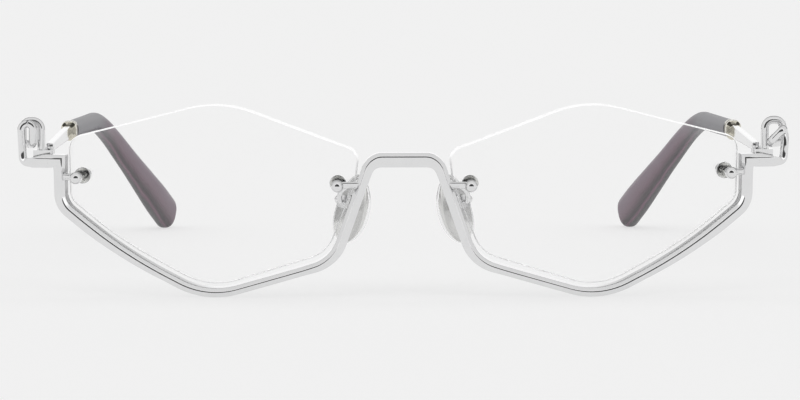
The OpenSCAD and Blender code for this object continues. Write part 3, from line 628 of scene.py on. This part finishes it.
def tab_rows(reach):
    """Loops of a tab in its screw's own axes: across, up and back. The outline is the strip's end,
    its two long sides and the round eye; the loops are drawn in by a quarter circle at the front
    and at the back, so that the edges are soft."""
    half = math.asin(TAB_H / 2 / EYE_R)
    a = np.linspace(half, 2 * math.pi - half, 40)
    eye = EYE_R * np.stack([np.cos(a), np.sin(a)], -1)
    f = np.linspace(0.1, 0.95, 6)[:, None]
    end = np.array([abs(reach), TAB_H / 2])
    upper = end + (eye[0] - end) * f
    lower = eye[-1] + (end * [1, -1] - eye[-1]) * f
    tip = np.stack([np.full(5, end[0]), np.linspace(-0.9, 0.9, 5) * TAB_H / 2], -1)
    outline = np.concatenate([upper, eye, lower, tip])
    t = unit(np.roll(outline, -1, axis=0) - np.roll(outline, 1, axis=0))
    inward = np.stack([-t[:, 1], t[:, 0]], -1)
    quarter = np.radians(np.linspace(4, 90, 7))
    front = [(TAB_EDGE_R * (1 - math.sin(k)), TAB_Y + TAB_EDGE_R * (1 - math.cos(k)))
             for k in quarter]
    back = [(inset, 2 * TAB_Y + TAB_T - y) for inset, y in front[::-1]]
    hub = np.array([EYE_R, 0])
    core = [(hub + (outline - hub) * s, y) for s, y in ((0.1, TAB_Y), (0.45, TAB_Y))]
    loops = core + [(outline + inward * inset, y) for inset, y in front + back]
    loops += [(flat, 2 * TAB_Y + TAB_T - y) for flat, y in core[::-1]]
    sign = 1 if reach > 0 else -1
    return np.array([np.column_stack([flat[:, 0] * sign, flat[:, 1], np.full(len(flat), y)])
                     for flat, y in loops])


REACH = {
    "temple": (SIDE_X - SIDE_W / 2 - BEVEL / 2 - TEMPLE_SCREW_X) / math.cos(WRAP) + BRAZE,
    "nose": nose_x(NOSE_SCREW_Z) + NOSE_W / 2 + BEVEL / 2 - NOSE_SCREW_X - BRAZE}
for side, word, part, x, z in SCREW_SPOTS:
    origin, across, back = screw_axes(x, z)
    up = np.cross(across, back)
    across = across * np.sign(across[0])
    up = up * np.sign(up[2])
    flat = tab_rows(REACH[part])
    spots = origin + flat[..., :1] * across + flat[..., 1:2] * up + flat[..., 2:] * back
    if REACH[part] > 0:
        spots = spots[:, ::-1]
    piece = add_mesh(f"soft_tab_{part}_{word}", *shell_of_rows(spots), side, sharp=50)
    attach(piece, "front")
    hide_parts(f"lens_tab_{part}_{word}")
    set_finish(piece, "polished_silver")

# %% [markdown]
# ## Nose pads and their arms
#
# A pad is a drop of clear silicone with a domed skin side and a flat back. It sits on a stud
# in a small metal box at the end of a bent wire arm, and rocks on a ball head screw. A scaled
# sphere has neither the drop's shape nor the flat back, so the pad is a stack of loops of its
# outline. The arm is a round section along a smooth curve.

# %% Pad frame
PAD_SPOT = np.array([9.3, 10.4, 15.5])
SPLAY, LEAN = math.radians(43), math.radians(15)
PAD_H, PAD_W, PAD_T = 13.2, 7.4, 2.2
PAD_POINTED, PAD_DOME = 0.14, 26
PIVOT_Y, PIN_UP = -PAD_T / 2 - 1.35, 1.2
PAD_X_AXIS = np.array([math.cos(SPLAY) * math.cos(LEAN), math.sin(SPLAY),
                       math.cos(SPLAY) * math.sin(LEAN)])
PAD_Y_AXIS = np.array([-math.sin(SPLAY) * math.cos(LEAN), math.cos(SPLAY),
                       -math.sin(SPLAY) * math.sin(LEAN)])
PAD_Z_AXIS = np.array([-math.sin(LEAN), 0, math.cos(LEAN)])


def pad_point(p):
    """Point given in the pad's own frame, across, out of the skin side and up, as a point of the
    whole model."""
    p = np.asarray(p, float)
    return PAD_SPOT + p[..., :1] * PAD_X_AXIS + p[..., 1:2] * PAD_Y_AXIS + p[..., 2:] * PAD_Z_AXIS


def pad_rows():
    """Loops of the pad: from the middle of the back out to the rim, round it, and in over the
    dome, whose height falls with the square of the distance from the middle."""
    a = np.linspace(0, 2 * math.pi, 96, endpoint=False)
    drop = np.stack([PAD_W / 2 * np.cos(a) * (1 - PAD_POINTED * np.sin(a)),
                     PAD_H / 2 * signed_power(np.sin(a), 0.95)], -1)
    size = np.linalg.norm(drop, axis=-1, keepdims=True)

    def loop(share, inset, height):
        flat = drop * share * (1 - inset / size)
        dome = PAD_T / 2 - (flat ** 2).sum(-1) / PAD_DOME
        y = -PAD_T / 2 + (dome + PAD_T / 2) * height
        return np.stack([flat[:, 0], y, flat[:, 1]], -1)

    back = [loop(s, 0, 0) for s in (0.1, 0.5, 0.9)]
    back += [loop(1, 0.25, 0), loop(1, 0.08, 0.03), loop(1, 0, 0.15)]
    edge = [loop(1, 0, 0.5), loop(1, 0, 0.75), loop(1, 0.08, 0.93), loop(1, 0.3, 1)]
    skin = [loop(s, 0, 1) for s in (0.9, 0.75, 0.6, 0.45, 0.3, 0.12)]
    return pad_point(np.array(back + edge + skin))


for side, word in ((1, "left"), (-1, "right")):
    pad = add_mesh(f"silicone_pad_{word}", *shell_of_rows(pad_rows()), side)
    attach(pad, f"pad_{word}_body")
    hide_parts(f"nose_pad_{word}")
    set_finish(pad, "clear_silicone")

# %% Pad arms and pad screws
ARM_Z, ARM_D, ARM_SIDES = 21.5, 0.9, 20
PAD_BALL_R, PAD_BALL_CUT, PAD_SHANK_R, PAD_SCREW_LEN, PAD_SCREW_OUT = 0.9, 0.73, 0.3, 2.74, 1.27


def smooth_curve(points, steps):
    """Curve through the given points, each piece a cubic that leaves and arrives along the
    line between the neighbours."""
    p = np.asarray(points, float)
    p = np.vstack([p[:1], p, p[-1:]])
    t = np.linspace(0, 1, steps, endpoint=False)[None, :, None]
    a, b, c, d = (p[k:len(p) - 3 + k, None] for k in range(4))
    out = 0.5 * (2 * b + (c - a) * t + (2 * a - 5 * b + 4 * c - d) * t ** 2
                 + (3 * b - a - 3 * c + d) * t ** 3)
    return np.vstack([out.reshape(-1, 3), p[-1:]])


def round_rows(path, first, d):
    """Loops of a round wire of diameter d along a path."""
    n = carried(path, first)
    u = np.cross(headings(path), n)
    a = np.linspace(0, 2 * math.pi, ARM_SIDES, endpoint=False)
    loop = d / 2 * np.stack([np.cos(a), np.sin(a)], -1)
    return placed(path, u, n, np.broadcast_to(loop, (len(path), ARM_SIDES, 2)))


arm_x, arm_z = np.float64(nose_x(ARM_Z)), np.float64(ARM_Z)
arm_root = on_front(arm_x, arm_z) + back_dir(arm_x, arm_z) * (WIRE_DEPTH - BRAZE)
arm_end = pad_point([0, PIVOT_Y - 1.2 + BRAZE, PIN_UP])
arm_line = smooth_curve(
    [arm_root, arm_root + [0.05, 1.6, 0], arm_root + [0.9, 4.2, 0], arm_root + [2.6, 6.7, -1],
     arm_end - 1.3 * PAD_Y_AXIS + 1.6 * PAD_Z_AXIS, arm_end - 0.9 * PAD_Y_AXIS, arm_end], 10)
arm_loops = round_rows(arm_line, [1, 0, 0], ARM_D)
screw_profile = ball_profile(PAD_BALL_R, PAD_BALL_CUT, PAD_SHANK_R, PAD_SCREW_LEN)
screw_loops = turned_rows(screw_profile, pad_point([PAD_SCREW_OUT, PIVOT_Y, PIN_UP]),
                          PAD_Z_AXIS, -PAD_X_AXIS)[:, ::-1]
for side, word in ((1, "left"), (-1, "right")):
    arm = add_mesh(f"pad_arm_wire_{word}", *shell_of_rows(arm_loops), side, sharp=60)
    screw = add_mesh(f"pad_ball_screw_{word}", *shell_of_rows(screw_loops), side, sharp=32)
    for piece, node in ((arm, "pad_arm"), (screw, "pad_screw")):
        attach(piece, "front")
        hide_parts(f"{node}_{word}")
        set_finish(piece, "polished_silver")

# %% [markdown]
# ## Temples
#
# A temple is a flat metal bar that grows towards a pale gold ferrule. Behind the ferrule a thin
# core runs on inside the acetate tip, which turns in, drops behind the ear and swells into a
# paddle. A curve with a bevel keeps one section all along, so tip and bar are upright sections
# along one path, with height and thickness looked up by the share of the length.

# %% Temple path
PIN_Y, KNUCKLE_R = 11.1499, 1.1
TEMPLE_X, TEMPLE_Z, BEND_Z = 66.5, 27.1, 27.5
BAR_Y = PIN_Y + KNUCKLE_R + 0.3
FERRULE_Y, FERRULE_LEN = PIN_Y + 34, 3.2
CORE_Y = FERRULE_Y + FERRULE_LEN
BEND_LEN = 93
BEND_Y = BAR_Y + BEND_LEN
RISE, INWARD, DROP = math.radians(2.1), math.radians(17), math.radians(30.5213)
DROP_LEN, TIP_CAP = 47.0, 3.0
BEND_R = 42
BAR_FRONT_H, BAR_BACK_H, BAR_T = 1.6, 2.8, 1.2
FERRULE_H, FERRULE_T = 3.8, 3.0
TIP_FRONT_H, TIP_FRONT_T, TIP_BACK_H, TIP_BACK_T = 3.5, 3.3, 7.6, 4.8


def straight(y):
    """Point of the straight part of the temple, which rises a little towards the ear."""
    y = np.asarray(y, float)
    return np.stack([np.full_like(y, TEMPLE_X), y, TEMPLE_Z + (y - BAR_Y) * math.tan(RISE)], -1)


def tip_path(step=1.2):
    """Path of the tip: straight to the ear, then dropped to the table and turned in."""
    bend = np.array([TEMPLE_X, BEND_Y, BEND_Z])
    drop = np.array([-math.cos(DROP) * math.sin(INWARD), math.cos(DROP) * math.cos(INWARD),
                     -math.sin(DROP)])
    return rounded_path([straight(CORE_Y), bend, bend + DROP_LEN * drop], [BEND_R], step)


def upright_rows(path, h, t, e, sides=36):
    """Upright superellipse sections: height along the path's upright, thickness across it; e runs
    from boxy (small) to round (1)."""
    d = headings(path)
    out = unit(np.cross(d, [0, 0, 1]))
    up = np.cross(out, d)
    a = np.linspace(0, 2 * math.pi, sides, endpoint=False)
    h, t = np.broadcast_to(h, len(path)), np.broadcast_to(t, len(path))
    tall = h[:, None, None] / 2 * signed_power(np.cos(a), e)[None, :, None] * up[:, None]
    wide = t[:, None, None] / 2 * signed_power(np.sin(a), e)[None, :, None] * -out[:, None]
    return path[:, None] + tall + wide


def bar_rows():
    """Loops of the flat bar, with softly broken edges; its height grows evenly."""
    stations = 24
    path = straight(np.linspace(BAR_Y, CORE_Y, stations))
    h = np.linspace(BAR_FRONT_H, BAR_BACK_H, stations)
    d = headings(path)
    out = unit(np.cross(d, [0, 0, 1]))
    up = np.cross(out, d)
    w = np.full(stations, BAR_T / 2)
    corners = np.stack([np.stack([h / 2, -w], -1), np.stack([h / 2, w], -1),
                        np.stack([-h / 2, w], -1), np.stack([-h / 2, -w], -1)], 1)
    return placed(path, up, -out, soft_section(corners, [0.2] * 4))


def ferrule_rows():
    """Loops of the sleeve: a rounded upright section whose size follows three turned bands."""
    s = np.array([0, 0.1, 0.9, 1.0, 1.05, 1.35, 1.4, 1.5, 2.2, 2.3, 2.35, 2.6, 2.65, 3.1, 3.2])
    r = np.array([-0.16, 0, 0.04, 0, -0.14, -0.14, 0, 0.05, 0.05, 0, -0.12, -0.12, 0, 0, -0.12])
    return upright_rows(straight(FERRULE_Y + s), FERRULE_H + 2 * r, FERRULE_T + 2 * r, 0.65, 48)


def tip_rows():
    """Loops of the acetate tip and of its rounded end, and the end's last point. Height and
    thickness go by the share of the length and are then smoothed along it."""
    path = tip_path()
    f = runs(path) / runs(path)[-1]
    h = np.interp(f, [0, 0.5, 0.62, 0.75, 0.93, 1],
                  [TIP_FRONT_H, TIP_FRONT_H + 0.4, TIP_FRONT_H + 1.2,
                   TIP_FRONT_H + 0.45 * (TIP_BACK_H - TIP_FRONT_H), TIP_BACK_H, TIP_BACK_H])
    t = np.interp(f, [0, 0.6, 0.93, 1], [TIP_FRONT_T, TIP_FRONT_T, TIP_BACK_T, TIP_BACK_T])
    reach = 4
    blur = np.hanning(2 * reach + 1) / np.hanning(2 * reach + 1).sum()
    h = np.convolve(np.pad(h, reach, mode="edge"), blur, "valid")
    t = np.convolve(np.pad(t, reach, mode="edge"), blur, "valid")
    a = np.radians(np.linspace(4, 88, 14))
    d = headings(path)[-1]
    ends = path[-1] + TIP_CAP * np.sin(a)[:, None] * d
    loops = upright_rows(np.vstack([path, ends]), np.concatenate([h, TIP_BACK_H * np.cos(a)]),
                         np.concatenate([t, TIP_BACK_T * np.cos(a)]), 0.8, 48)
    return loops, path[-1] + TIP_CAP * d


def tip_turns(loops):
    """For each point of the tip, minus the sine and minus the cosine of its turn round the
    section, so that the jump of the angle lies on the upper side; the poles get the lower side."""
    count, sides = loops.shape[:2]
    a = np.linspace(0, 2 * math.pi, sides, endpoint=False)
    one = np.stack([-np.sin(a), -np.cos(a), 0 * a], -1)
    return np.concatenate([np.tile(one, (count, 1)), [[0, 1, 0], [0, 1, 0]]])


tip_loops, tip_end = tip_rows()
print("tip ends", round(float(tip_loops[..., 2].min()), 3), "mm above the table")

# %% Temple pieces
for side, word in ((1, "left"), (-1, "right")):
    made = [
        ("temple_metal_bar", "temple_bar", "polished_silver", shell_of_rows(bar_rows()), 40),
        ("banded_ferrule", "ferrule", "champagne_metal", shell_of_rows(ferrule_rows()), 30),
        ("acetate_tip", "temple_tip", "smoky_acetate", shell_of_rows(tip_loops, end=tip_end), 50),
    ]
    for name, node, slot, shape, sharp in made:
        piece = add_mesh(f"{name}_{word}", *shape, side, sharp=sharp)
        if node == "temple_tip":
            section = piece.data.attributes.new("section", "FLOAT_VECTOR", "POINT")
            section.data.foreach_set("vector", tip_turns(tip_loops).ravel())
        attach(piece, f"temple_{word}_body")
        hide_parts(f"{node}_{word}")
        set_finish(piece, slot)

# %% [markdown]
# ## Materials
#
# Every finish is one Principled shader with a few nodes that carry its variation: tiny
# differences in polish on the metal, layers of smoke and rose in the acetate with painted shade
# on its lower and outer side, a faint haze in the silicone, and a painted glow on the lens edge.
# Constants are set on the shader's own sockets.

# %% Material helpers
def linear(code):
    """Linear colour of an sRGB hex code."""
    c = np.array([int(code[i:i + 2], 16) for i in (1, 3, 5)]) / 255
    c = np.where(c <= 0.04045, c / 12.92, ((c + 0.055) / 1.055) ** 2.4)
    return (*[float(v) for v in c], 1.0)


def new_material(name):
    """New material with one Principled shader on its output, as the material, its node tree and
    that shader."""
    material = bpy.data.materials.new(name)
    material.use_nodes = True
    tree = material.node_tree
    return material, tree, tree.nodes["Principled BSDF"]


def add_node(tree, kind, settings=None, inputs=None, links=None):
    """Node of a kind with its settings, its input values and its links from other sockets."""
    node = tree.nodes.new(kind)
    for key, value in (settings or {}).items():
        setattr(node, key, value)
    for key, value in (inputs or {}).items():
        node.inputs[key].default_value = value
    for key, socket in (links or {}).items():
        tree.links.new(socket, node.inputs[key])
    return node


def set_inputs(shader, values):
    """Constants on the shader's own sockets."""
    for key, value in values.items():
        shader.inputs[key].default_value = value

print("mid grey is", round(linear("#808080")[0], 4), "in linear colour")

# %% [markdown]
# ### Polished metals
#
# The wire, bars, screws and nuts are plated and polished until they mirror the room, and the
# ferrules are plated in a paler gold. One even metal shader would look like chrome in a
# catalogue drawing. A slow change of tint and polish and very fine hand polishing marks make
# it a real surface.

# %% Polished metals
def polished_metal(name, light, dark, rough):
    """Polished plated wire: nearly even in colour, with a slow change of polish every few
    millimetres and fine hand polishing marks about 0.15 mm apart."""
    material, tree, shader = new_material(name)
    spot = add_node(tree, "ShaderNodeTexCoord")
    slow = add_node(tree, "ShaderNodeTexNoise", inputs={"Scale": 260.0, "Detail": 2.0},
                    links={"Vector": spot.outputs["Object"]})
    fine = add_node(tree, "ShaderNodeTexNoise", inputs={"Scale": 6500.0, "Detail": 1.0},
                    links={"Vector": spot.outputs["Object"]})
    tint = add_node(tree, "ShaderNodeMix", {"data_type": "RGBA"},
                    {6: linear(dark), 7: linear(light)}, {"Factor": slow.outputs["Fac"]})
    polish = add_node(tree, "ShaderNodeMapRange",
                      inputs={"To Min": rough * 0.8, "To Max": rough * 1.25},
                      links={"Value": slow.outputs["Fac"]})
    marks = add_node(tree, "ShaderNodeBump", inputs={"Strength": 0.02, "Distance": 0.00002},
                     links={"Height": fine.outputs["Fac"]})
    tree.links.new(tint.outputs[2], shader.inputs["Base Color"])
    tree.links.new(polish.outputs["Result"], shader.inputs["Roughness"])
    tree.links.new(marks.outputs["Normal"], shader.inputs["Normal"])
    set_inputs(shader, {"Metallic": 1.0})
    return material


silver = polished_metal("polished_plated_silver_metal", "#EAEAEA", "#E2E2E3", 0.08)
champagne = polished_metal("polished_champagne_metal", "#DDD9CC", "#CBC6B6", 0.1)
print("made", silver.name, "and", champagne.name)

# %% [markdown]
# ### Acetate
#
# The tips are cut from a sheet of cellulose acetate that was pressed from layers of smoke,
# rose and mauve, and then tumbled. Their colours are looked up by the turn round the section of
# the tip, which a plain wood or marble texture couldn't do. The same lookup also paints shade:
# darker on the lower and outer side, lighter on top. A new colour ramp already has a stop at
# each end, so only the stops between them are added.

# %% Acetate
# Stops by the turn round the section: the acetate's own mauve and rose, with painted shade from
# 0.35 to 0.72 on the lower and outer side, broken by the rose streak at 0.46, and a lighter top at
# both ends.
LAYER_AND_SHADE_COLOURS = [(0.0, "#756A71"), (0.2, "#80697A"), (0.3, "#735566"), (0.35, "#5C4250"),
          (0.385, "#3E3138"), (0.425, "#382C34"), (0.46, "#7E566C"), (0.5, "#3A353A"),
          (0.72, "#3C383F"), (1.0, "#756A71")]


def smoky_acetate():
    """Tumbled and polished cellulose acetate: a rose streak below, pale mauve on the inner side
    and plain grey near the ferrule, with painted shade that makes the outer and lower side darker
    and the top lighter. The attribute section holds the turn round the section, and soft clouds
    some 6 mm across, drawn out along the tip, shift the layers a little. Where the surface turns
    away from the view the colour darkens: painted shade along the outline."""
    material, tree, shader = new_material("polished_smoky_cellulose_acetate")
    spot = add_node(tree, "ShaderNodeTexCoord")
    drawn = add_node(tree, "ShaderNodeMapping", {}, {"Scale": (0.6, 0.15, 0.3)},
                     {"Vector": spot.outputs["Object"]})
    cloud = add_node(tree, "ShaderNodeTexNoise",
                     inputs={"Scale": 260.0, "Detail": 2.0, "Distortion": 0.8},
                     links={"Vector": drawn.outputs["Vector"]})
    section = add_node(tree, "ShaderNodeAttribute", {"attribute_name": "section"})
    waves = add_node(tree, "ShaderNodeSeparateXYZ", links={"Vector": section.outputs["Vector"]})
    turn = add_node(tree, "ShaderNodeMath", {"operation": "ARCTAN2"},
                    links={0: waves.outputs["X"], 1: waves.outputs["Y"]})
    way_round = add_node(tree, "ShaderNodeMapRange",
                         inputs={"From Min": -math.pi, "From Max": math.pi},
                         links={"Value": turn.outputs[0]})
    shift = add_node(tree, "ShaderNodeMapRange",
                     inputs={"From Min": 0.25, "From Max": 0.75, "To Min": -0.03, "To Max": 0.03},
                     links={"Value": cloud.outputs["Fac"]})
    layer = add_node(tree, "ShaderNodeMath", {"operation": "ADD"},
                     links={0: way_round.outputs["Result"], 1: shift.outputs["Result"]})
    ramp = add_node(tree, "ShaderNodeValToRGB", links={"Fac": layer.outputs[0]})
    stops = ramp.color_ramp.elements
    for at, code in LAYER_AND_SHADE_COLOURS:
        stop = stops.new(at) if 0.0 < at < 1.0 else stops[0 if at == 0.0 else -1]
        stop.color = linear(code)
    place = add_node(tree, "ShaderNodeSeparateXYZ", links={"Vector": spot.outputs["Object"]})
    front = add_node(tree, "ShaderNodeMapRange", {"interpolation_type": "SMOOTHSTEP"},
                     {"From Min": 0.022, "From Max": 0.040, "To Min": 1.0, "To Max": 0.0},
                     {"Value": place.outputs["Y"]})
    grey = add_node(tree, "ShaderNodeMix", {"data_type": "RGBA"}, {7: linear("#6E6C74")},
                    {0: front.outputs["Result"], 6: ramp.outputs["Color"]})
    # Painted shade: the colour darkens towards #4A484D where the surface turns away from the view,
    # along the outline.
    rim = add_node(tree, "ShaderNodeLayerWeight", inputs={"Blend": 0.3})
    edge = add_node(tree, "ShaderNodeMath", {"operation": "MULTIPLY"}, {1: 0.4},
                    {0: rim.outputs["Facing"]})
    whole = add_node(tree, "ShaderNodeMix", {"data_type": "RGBA"}, {7: linear("#4A484D")},
                     {0: edge.outputs[0], 6: grey.outputs[2]})
    tree.links.new(whole.outputs[2], shader.inputs["Base Color"])
    set_inputs(shader, {"Roughness": 0.38, "IOR": 1.48, "Specular IOR Level": 0.35,
                        "Coat Weight": 0.06, "Coat Roughness": 0.15})
    return material


acetate = smoky_acetate()
print("made", acetate.name, "with", len(LAYER_AND_SHADE_COLOURS), "layer colours")

# %% [markdown]
# ### Clear materials
#
# The lenses are hard coated plastic, the pads moulded silicone and the washers hard clear
# plastic. All three let light through, so each is the same shader with its own haze, tint and
# bending of light; on pads and washers the colour also darkens along the outline, partly for the
# longer path through the material and partly as painted shade. The lens edge has a material of
# its own, because it is ground and not polished, and it carries a painted glow.

# %% Clear materials
def clear_stuff(name, tint, outline_shade_tint, rough, ior, haze=0.0):
    """Clear moulded or cast plastic; the haze makes its polish uneven every 2 mm or so, and where
    the view runs along the surface the colour turns towards the outline tint, partly for the
    longer path through the material and partly as painted shade along the outline."""
    material, tree, shader = new_material(name)
    spot = add_node(tree, "ShaderNodeTexCoord")
    cloud = add_node(tree, "ShaderNodeTexNoise", inputs={"Scale": 500.0, "Detail": 2.0},
                     links={"Vector": spot.outputs["Object"]})
    polish = add_node(tree, "ShaderNodeMapRange", inputs={"To Min": rough, "To Max": rough + haze},
                      links={"Value": cloud.outputs["Fac"]})
    # Towards the outline tint where the view runs along the surface: partly the longer path through
    # the material, partly painted shade.
    rim = add_node(tree, "ShaderNodeLayerWeight", inputs={"Blend": 0.55})
    body = add_node(tree, "ShaderNodeMix", {"data_type": "RGBA"},
                    {6: linear(tint), 7: linear(outline_shade_tint)}, {0: rim.outputs["Facing"]})
    tree.links.new(polish.outputs["Result"], shader.inputs["Roughness"])
    tree.links.new(body.outputs[2], shader.inputs["Base Color"])
    set_inputs(shader, {"IOR": ior, "Transmission Weight": 1.0})
    return material


def frosted_edge():
    """Ground edge of the lens: white and matt like frosted glass, with fine grinding marks about
    0.2 mm apart. It also glows a little, most where it looks up: a painted glow that stands in for
    light from above."""
    material, tree, shader = new_material("ground_frosted_lens_edge")
    spot = add_node(tree, "ShaderNodeTexCoord")
    marks = add_node(tree, "ShaderNodeTexNoise", inputs={"Scale": 5000.0, "Detail": 1.0},
                     links={"Vector": spot.outputs["Object"]})
    ground = add_node(tree, "ShaderNodeMapRange", inputs={"To Min": 0.5, "To Max": 0.7},
                      links={"Value": marks.outputs["Fac"]})
    # Painted glow: the emission grows where the edge faces up, in place of light from above.
    way = add_node(tree, "ShaderNodeSeparateXYZ", links={"Vector": spot.outputs["Normal"]})
    painted_glow = add_node(tree, "ShaderNodeMapRange",
                      inputs={"From Min": -0.2, "From Max": 0.3, "To Min": 0.02, "To Max": 0.32},
                      links={"Value": way.outputs["Z"]})
    tree.links.new(ground.outputs["Result"], shader.inputs["Roughness"])
    tree.links.new(painted_glow.outputs["Result"], shader.inputs["Emission Strength"])
    set_inputs(shader, {"Base Color": linear("#F6F6F6"), "IOR": 1.5, "Transmission Weight": 0.6,
                        "Emission Color": linear("#FFFFFF")})
    return material


lens_plastic = clear_stuff("coated_clear_lens_plastic", "#FFFFFF", "#FFFFFF", 0.0, 1.5, 0.002)
ground_edge = frosted_edge()
silicone = clear_stuff("clear_moulded_silicone", "#F2F2F0", "#484846", 0.12, 1.41, 0.05)
hard_clear = clear_stuff("clear_moulded_polycarbonate", "#F4F4F2", "#A8A8A4", 0.02, 1.58, 0.04)
print("made", *[m.name for m in (lens_plastic, ground_edge, silicone, hard_clear)])

# %% [markdown]
# ### Which piece gets which material
#
# Hinges, pad boxes, studs and washers keep their solids' own meshes, so their finish comes from
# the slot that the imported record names. Every other piece says its slot itself. The lens has a
# second material for the faces of its ground edge.

# %% Materials on pieces and on the solids that stay
SLOTS = {"polished_silver": silver, "champagne_metal": champagne, "smoky_acetate": acetate,
         "clear_lens": lens_plastic, "clear_silicone": silicone, "clear_plastic": hard_clear}
node_slots = {s["node"]: s["material_slot"] for s in frame["record"]["subparts"]}
for name, node in frame["nodes"].items():
    node.data.materials.clear()
    node.data.materials.append(SLOTS[node_slots[name]])
for piece in [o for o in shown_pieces() if o.name not in frame["nodes"]]:
    piece.data.materials.append(SLOTS[piece["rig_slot"]])
    if "edge_faces" in piece:
        piece.data.materials.append(ground_edge)

# %% [markdown]
# ## Floor
#
# The glasses stand on a pale, even ground with hardly any shadow, as on a light table. A plain
# white sheet would come out grey under soft light, so wherever the camera sees it, straight or
# through glass and in metal, part of it glows white. The rest is paper that takes the shadows.

# %% Floor
FLOOR_HALF, FLOOR_Z, GLOW_SHARE = 15, -0.00002, 0.6
floor_points = [(x * FLOOR_HALF, y * FLOOR_HALF, FLOOR_Z)
                for x, y in ((-1, -1), (1, -1), (1, 1), (-1, 1))]
floor_mesh = bpy.data.meshes.new("pale_floor")
floor_mesh.from_pydata(floor_points, [], [(0, 1, 2, 3)])
floor = bpy.data.objects.new("pale_floor", floor_mesh)
bpy.context.scene.collection.objects.link(floor)
paper, tree, shader = new_material("matt_pale_paper")
set_inputs(shader, {"Base Color": linear("#FFFFFF"), "Roughness": 0.9, "Specular IOR Level": 0.0})
ray = add_node(tree, "ShaderNodeLightPath")
straight_look = add_node(tree, "ShaderNodeMath", {"operation": "MAXIMUM"},
                         links={0: ray.outputs["Is Camera Ray"], 1: ray.outputs["Is Glossy Ray"]})
any_look = add_node(tree, "ShaderNodeMath", {"operation": "MAXIMUM"},
                    links={0: straight_look.outputs[0], 1: ray.outputs["Is Transmission Ray"]})
seen_share = add_node(tree, "ShaderNodeMath", {"operation": "MULTIPLY"}, {1: GLOW_SHARE},
                      {0: any_look.outputs[0]})
glow = add_node(tree, "ShaderNodeEmission", inputs={"Strength": 1.0})
sheet = add_node(tree, "ShaderNodeMixShader",
                 links={0: seen_share.outputs[0], 1: shader.outputs[0], 2: glow.outputs[0]})
tree.links.new(sheet.outputs[0], tree.nodes["Material Output"].inputs["Surface"])
floor.data.materials.append(paper)
print("floor of", 2 * FLOOR_HALF, "m in", paper.name)

# %% [markdown]
# ## Light
#
# The light is the world's alone, in rings round the line from front to back: dark straight in
# front, where the camera stands, then a narrow bright ring, an even pale grey above and beside
# the object, and a darker ring with a pale middle behind it. Area lamps would light the metal
# as well, but only rings give each polished ridge its thin dark line and each ball and coil
# its outline. Each step of the rings is a place from front (0) to back (1) and a level. To the
# camera itself the world is one even pale tone.

# %% World light
WORLD_LEVEL, BACKDROP_LEVEL = 1.44, 0.888
RINGS = [(0.0, 0.05), (0.145, 0.05), (0.17, 1.0), (0.195, 1.0), (0.22, 0.57), (0.71, 0.57),
         (0.77, 0.2), (0.9, 0.2), (0.95, 0.75), (1.0, 0.75)]
world = bpy.data.worlds.new("soft_studio")
bpy.context.scene.world = world
world.use_nodes = True
sky = world.node_tree
background = sky.nodes["Background"]
look = add_node(sky, "ShaderNodeTexCoord")
look_parts = add_node(sky, "ShaderNodeSeparateXYZ", links={"Vector": look.outputs["Generated"]})
backward = add_node(sky, "ShaderNodeMapRange", inputs={"From Min": -1.0, "From Max": 1.0},
                    links={"Value": look_parts.outputs["Y"]})
bands = add_node(sky, "ShaderNodeValToRGB", links={"Fac": backward.outputs["Result"]})
stops = bands.color_ramp.elements
for at, level in RINGS:
    stop = stops.new(at) if 0.0 < at < 1.0 else stops[0 if at == 0.0 else -1]
    stop.color = (level, level, level, 1)
sky_ray = add_node(sky, "ShaderNodeLightPath")
lighting = add_node(sky, "ShaderNodeMath", {"operation": "MULTIPLY"}, {1: WORLD_LEVEL},
                    {0: bands.outputs["Color"]})
seen = add_node(sky, "ShaderNodeMix", {"data_type": "FLOAT"},
                links={"Factor": sky_ray.outputs["Is Camera Ray"]})
seen.inputs["B"].default_value = BACKDROP_LEVEL
sky.links.new(lighting.outputs[0], seen.inputs["A"])
sky.links.new(seen.outputs["Result"], background.inputs["Strength"])
background.inputs["Color"].default_value = (1, 1, 1, 1)
bpy.context.scene.view_settings.view_transform = "Standard"
print("world light in", len(RINGS), "steps from front to back")

# %% [markdown]
# ## Camera
#
# The camera stands in front and a little above, and looks slightly down, as in the photograph.
# Its place, turn and focal length were worked out from the places of the rims, screws, coils
# and tips in the picture. A track-to constraint could aim it, but it would hide the numbers.

# %% Camera
SENSOR_WIDTH, FOCAL_LENGTH = 36.0, 125.1
CAMERA_X, CAMERA_Y, CAMERA_Z = -5.65, -510.2, 59.34
TURN_RIGHT, PITCH_DOWN, ROLL = math.radians(0.551), math.radians(4.627), math.radians(-0.057)
camera_data = bpy.data.cameras.new("photo_camera")
camera_data.sensor_width, camera_data.lens = SENSOR_WIDTH, FOCAL_LENGTH
camera_data.clip_start = 0.01
camera = bpy.data.objects.new("photo_camera", camera_data)
bpy.context.scene.collection.objects.link(camera)
look_to = Vector((math.sin(TURN_RIGHT) * math.cos(PITCH_DOWN),
                  math.cos(TURN_RIGHT) * math.cos(PITCH_DOWN), -math.sin(PITCH_DOWN)))
facing = look_to.to_track_quat("-Z", "Y").to_matrix().to_4x4()
spot = Matrix.Translation(Vector((CAMERA_X, CAMERA_Y - MID_Y, CAMERA_Z)) * MM)
camera.matrix_world = spot @ facing @ Matrix.Rotation(ROLL, 4, "Z")
bpy.context.scene.camera = camera
print("camera", round(-CAMERA_Y), "mm in front, focal length", FOCAL_LENGTH, "mm")

# %% [markdown]
# ## Sizes and finish
#
# The smooth pieces must not reach past the solids they stand for. This cell only brings the
# scene up to date.

# %% Sizes and finish
bpy.context.view_layer.update()
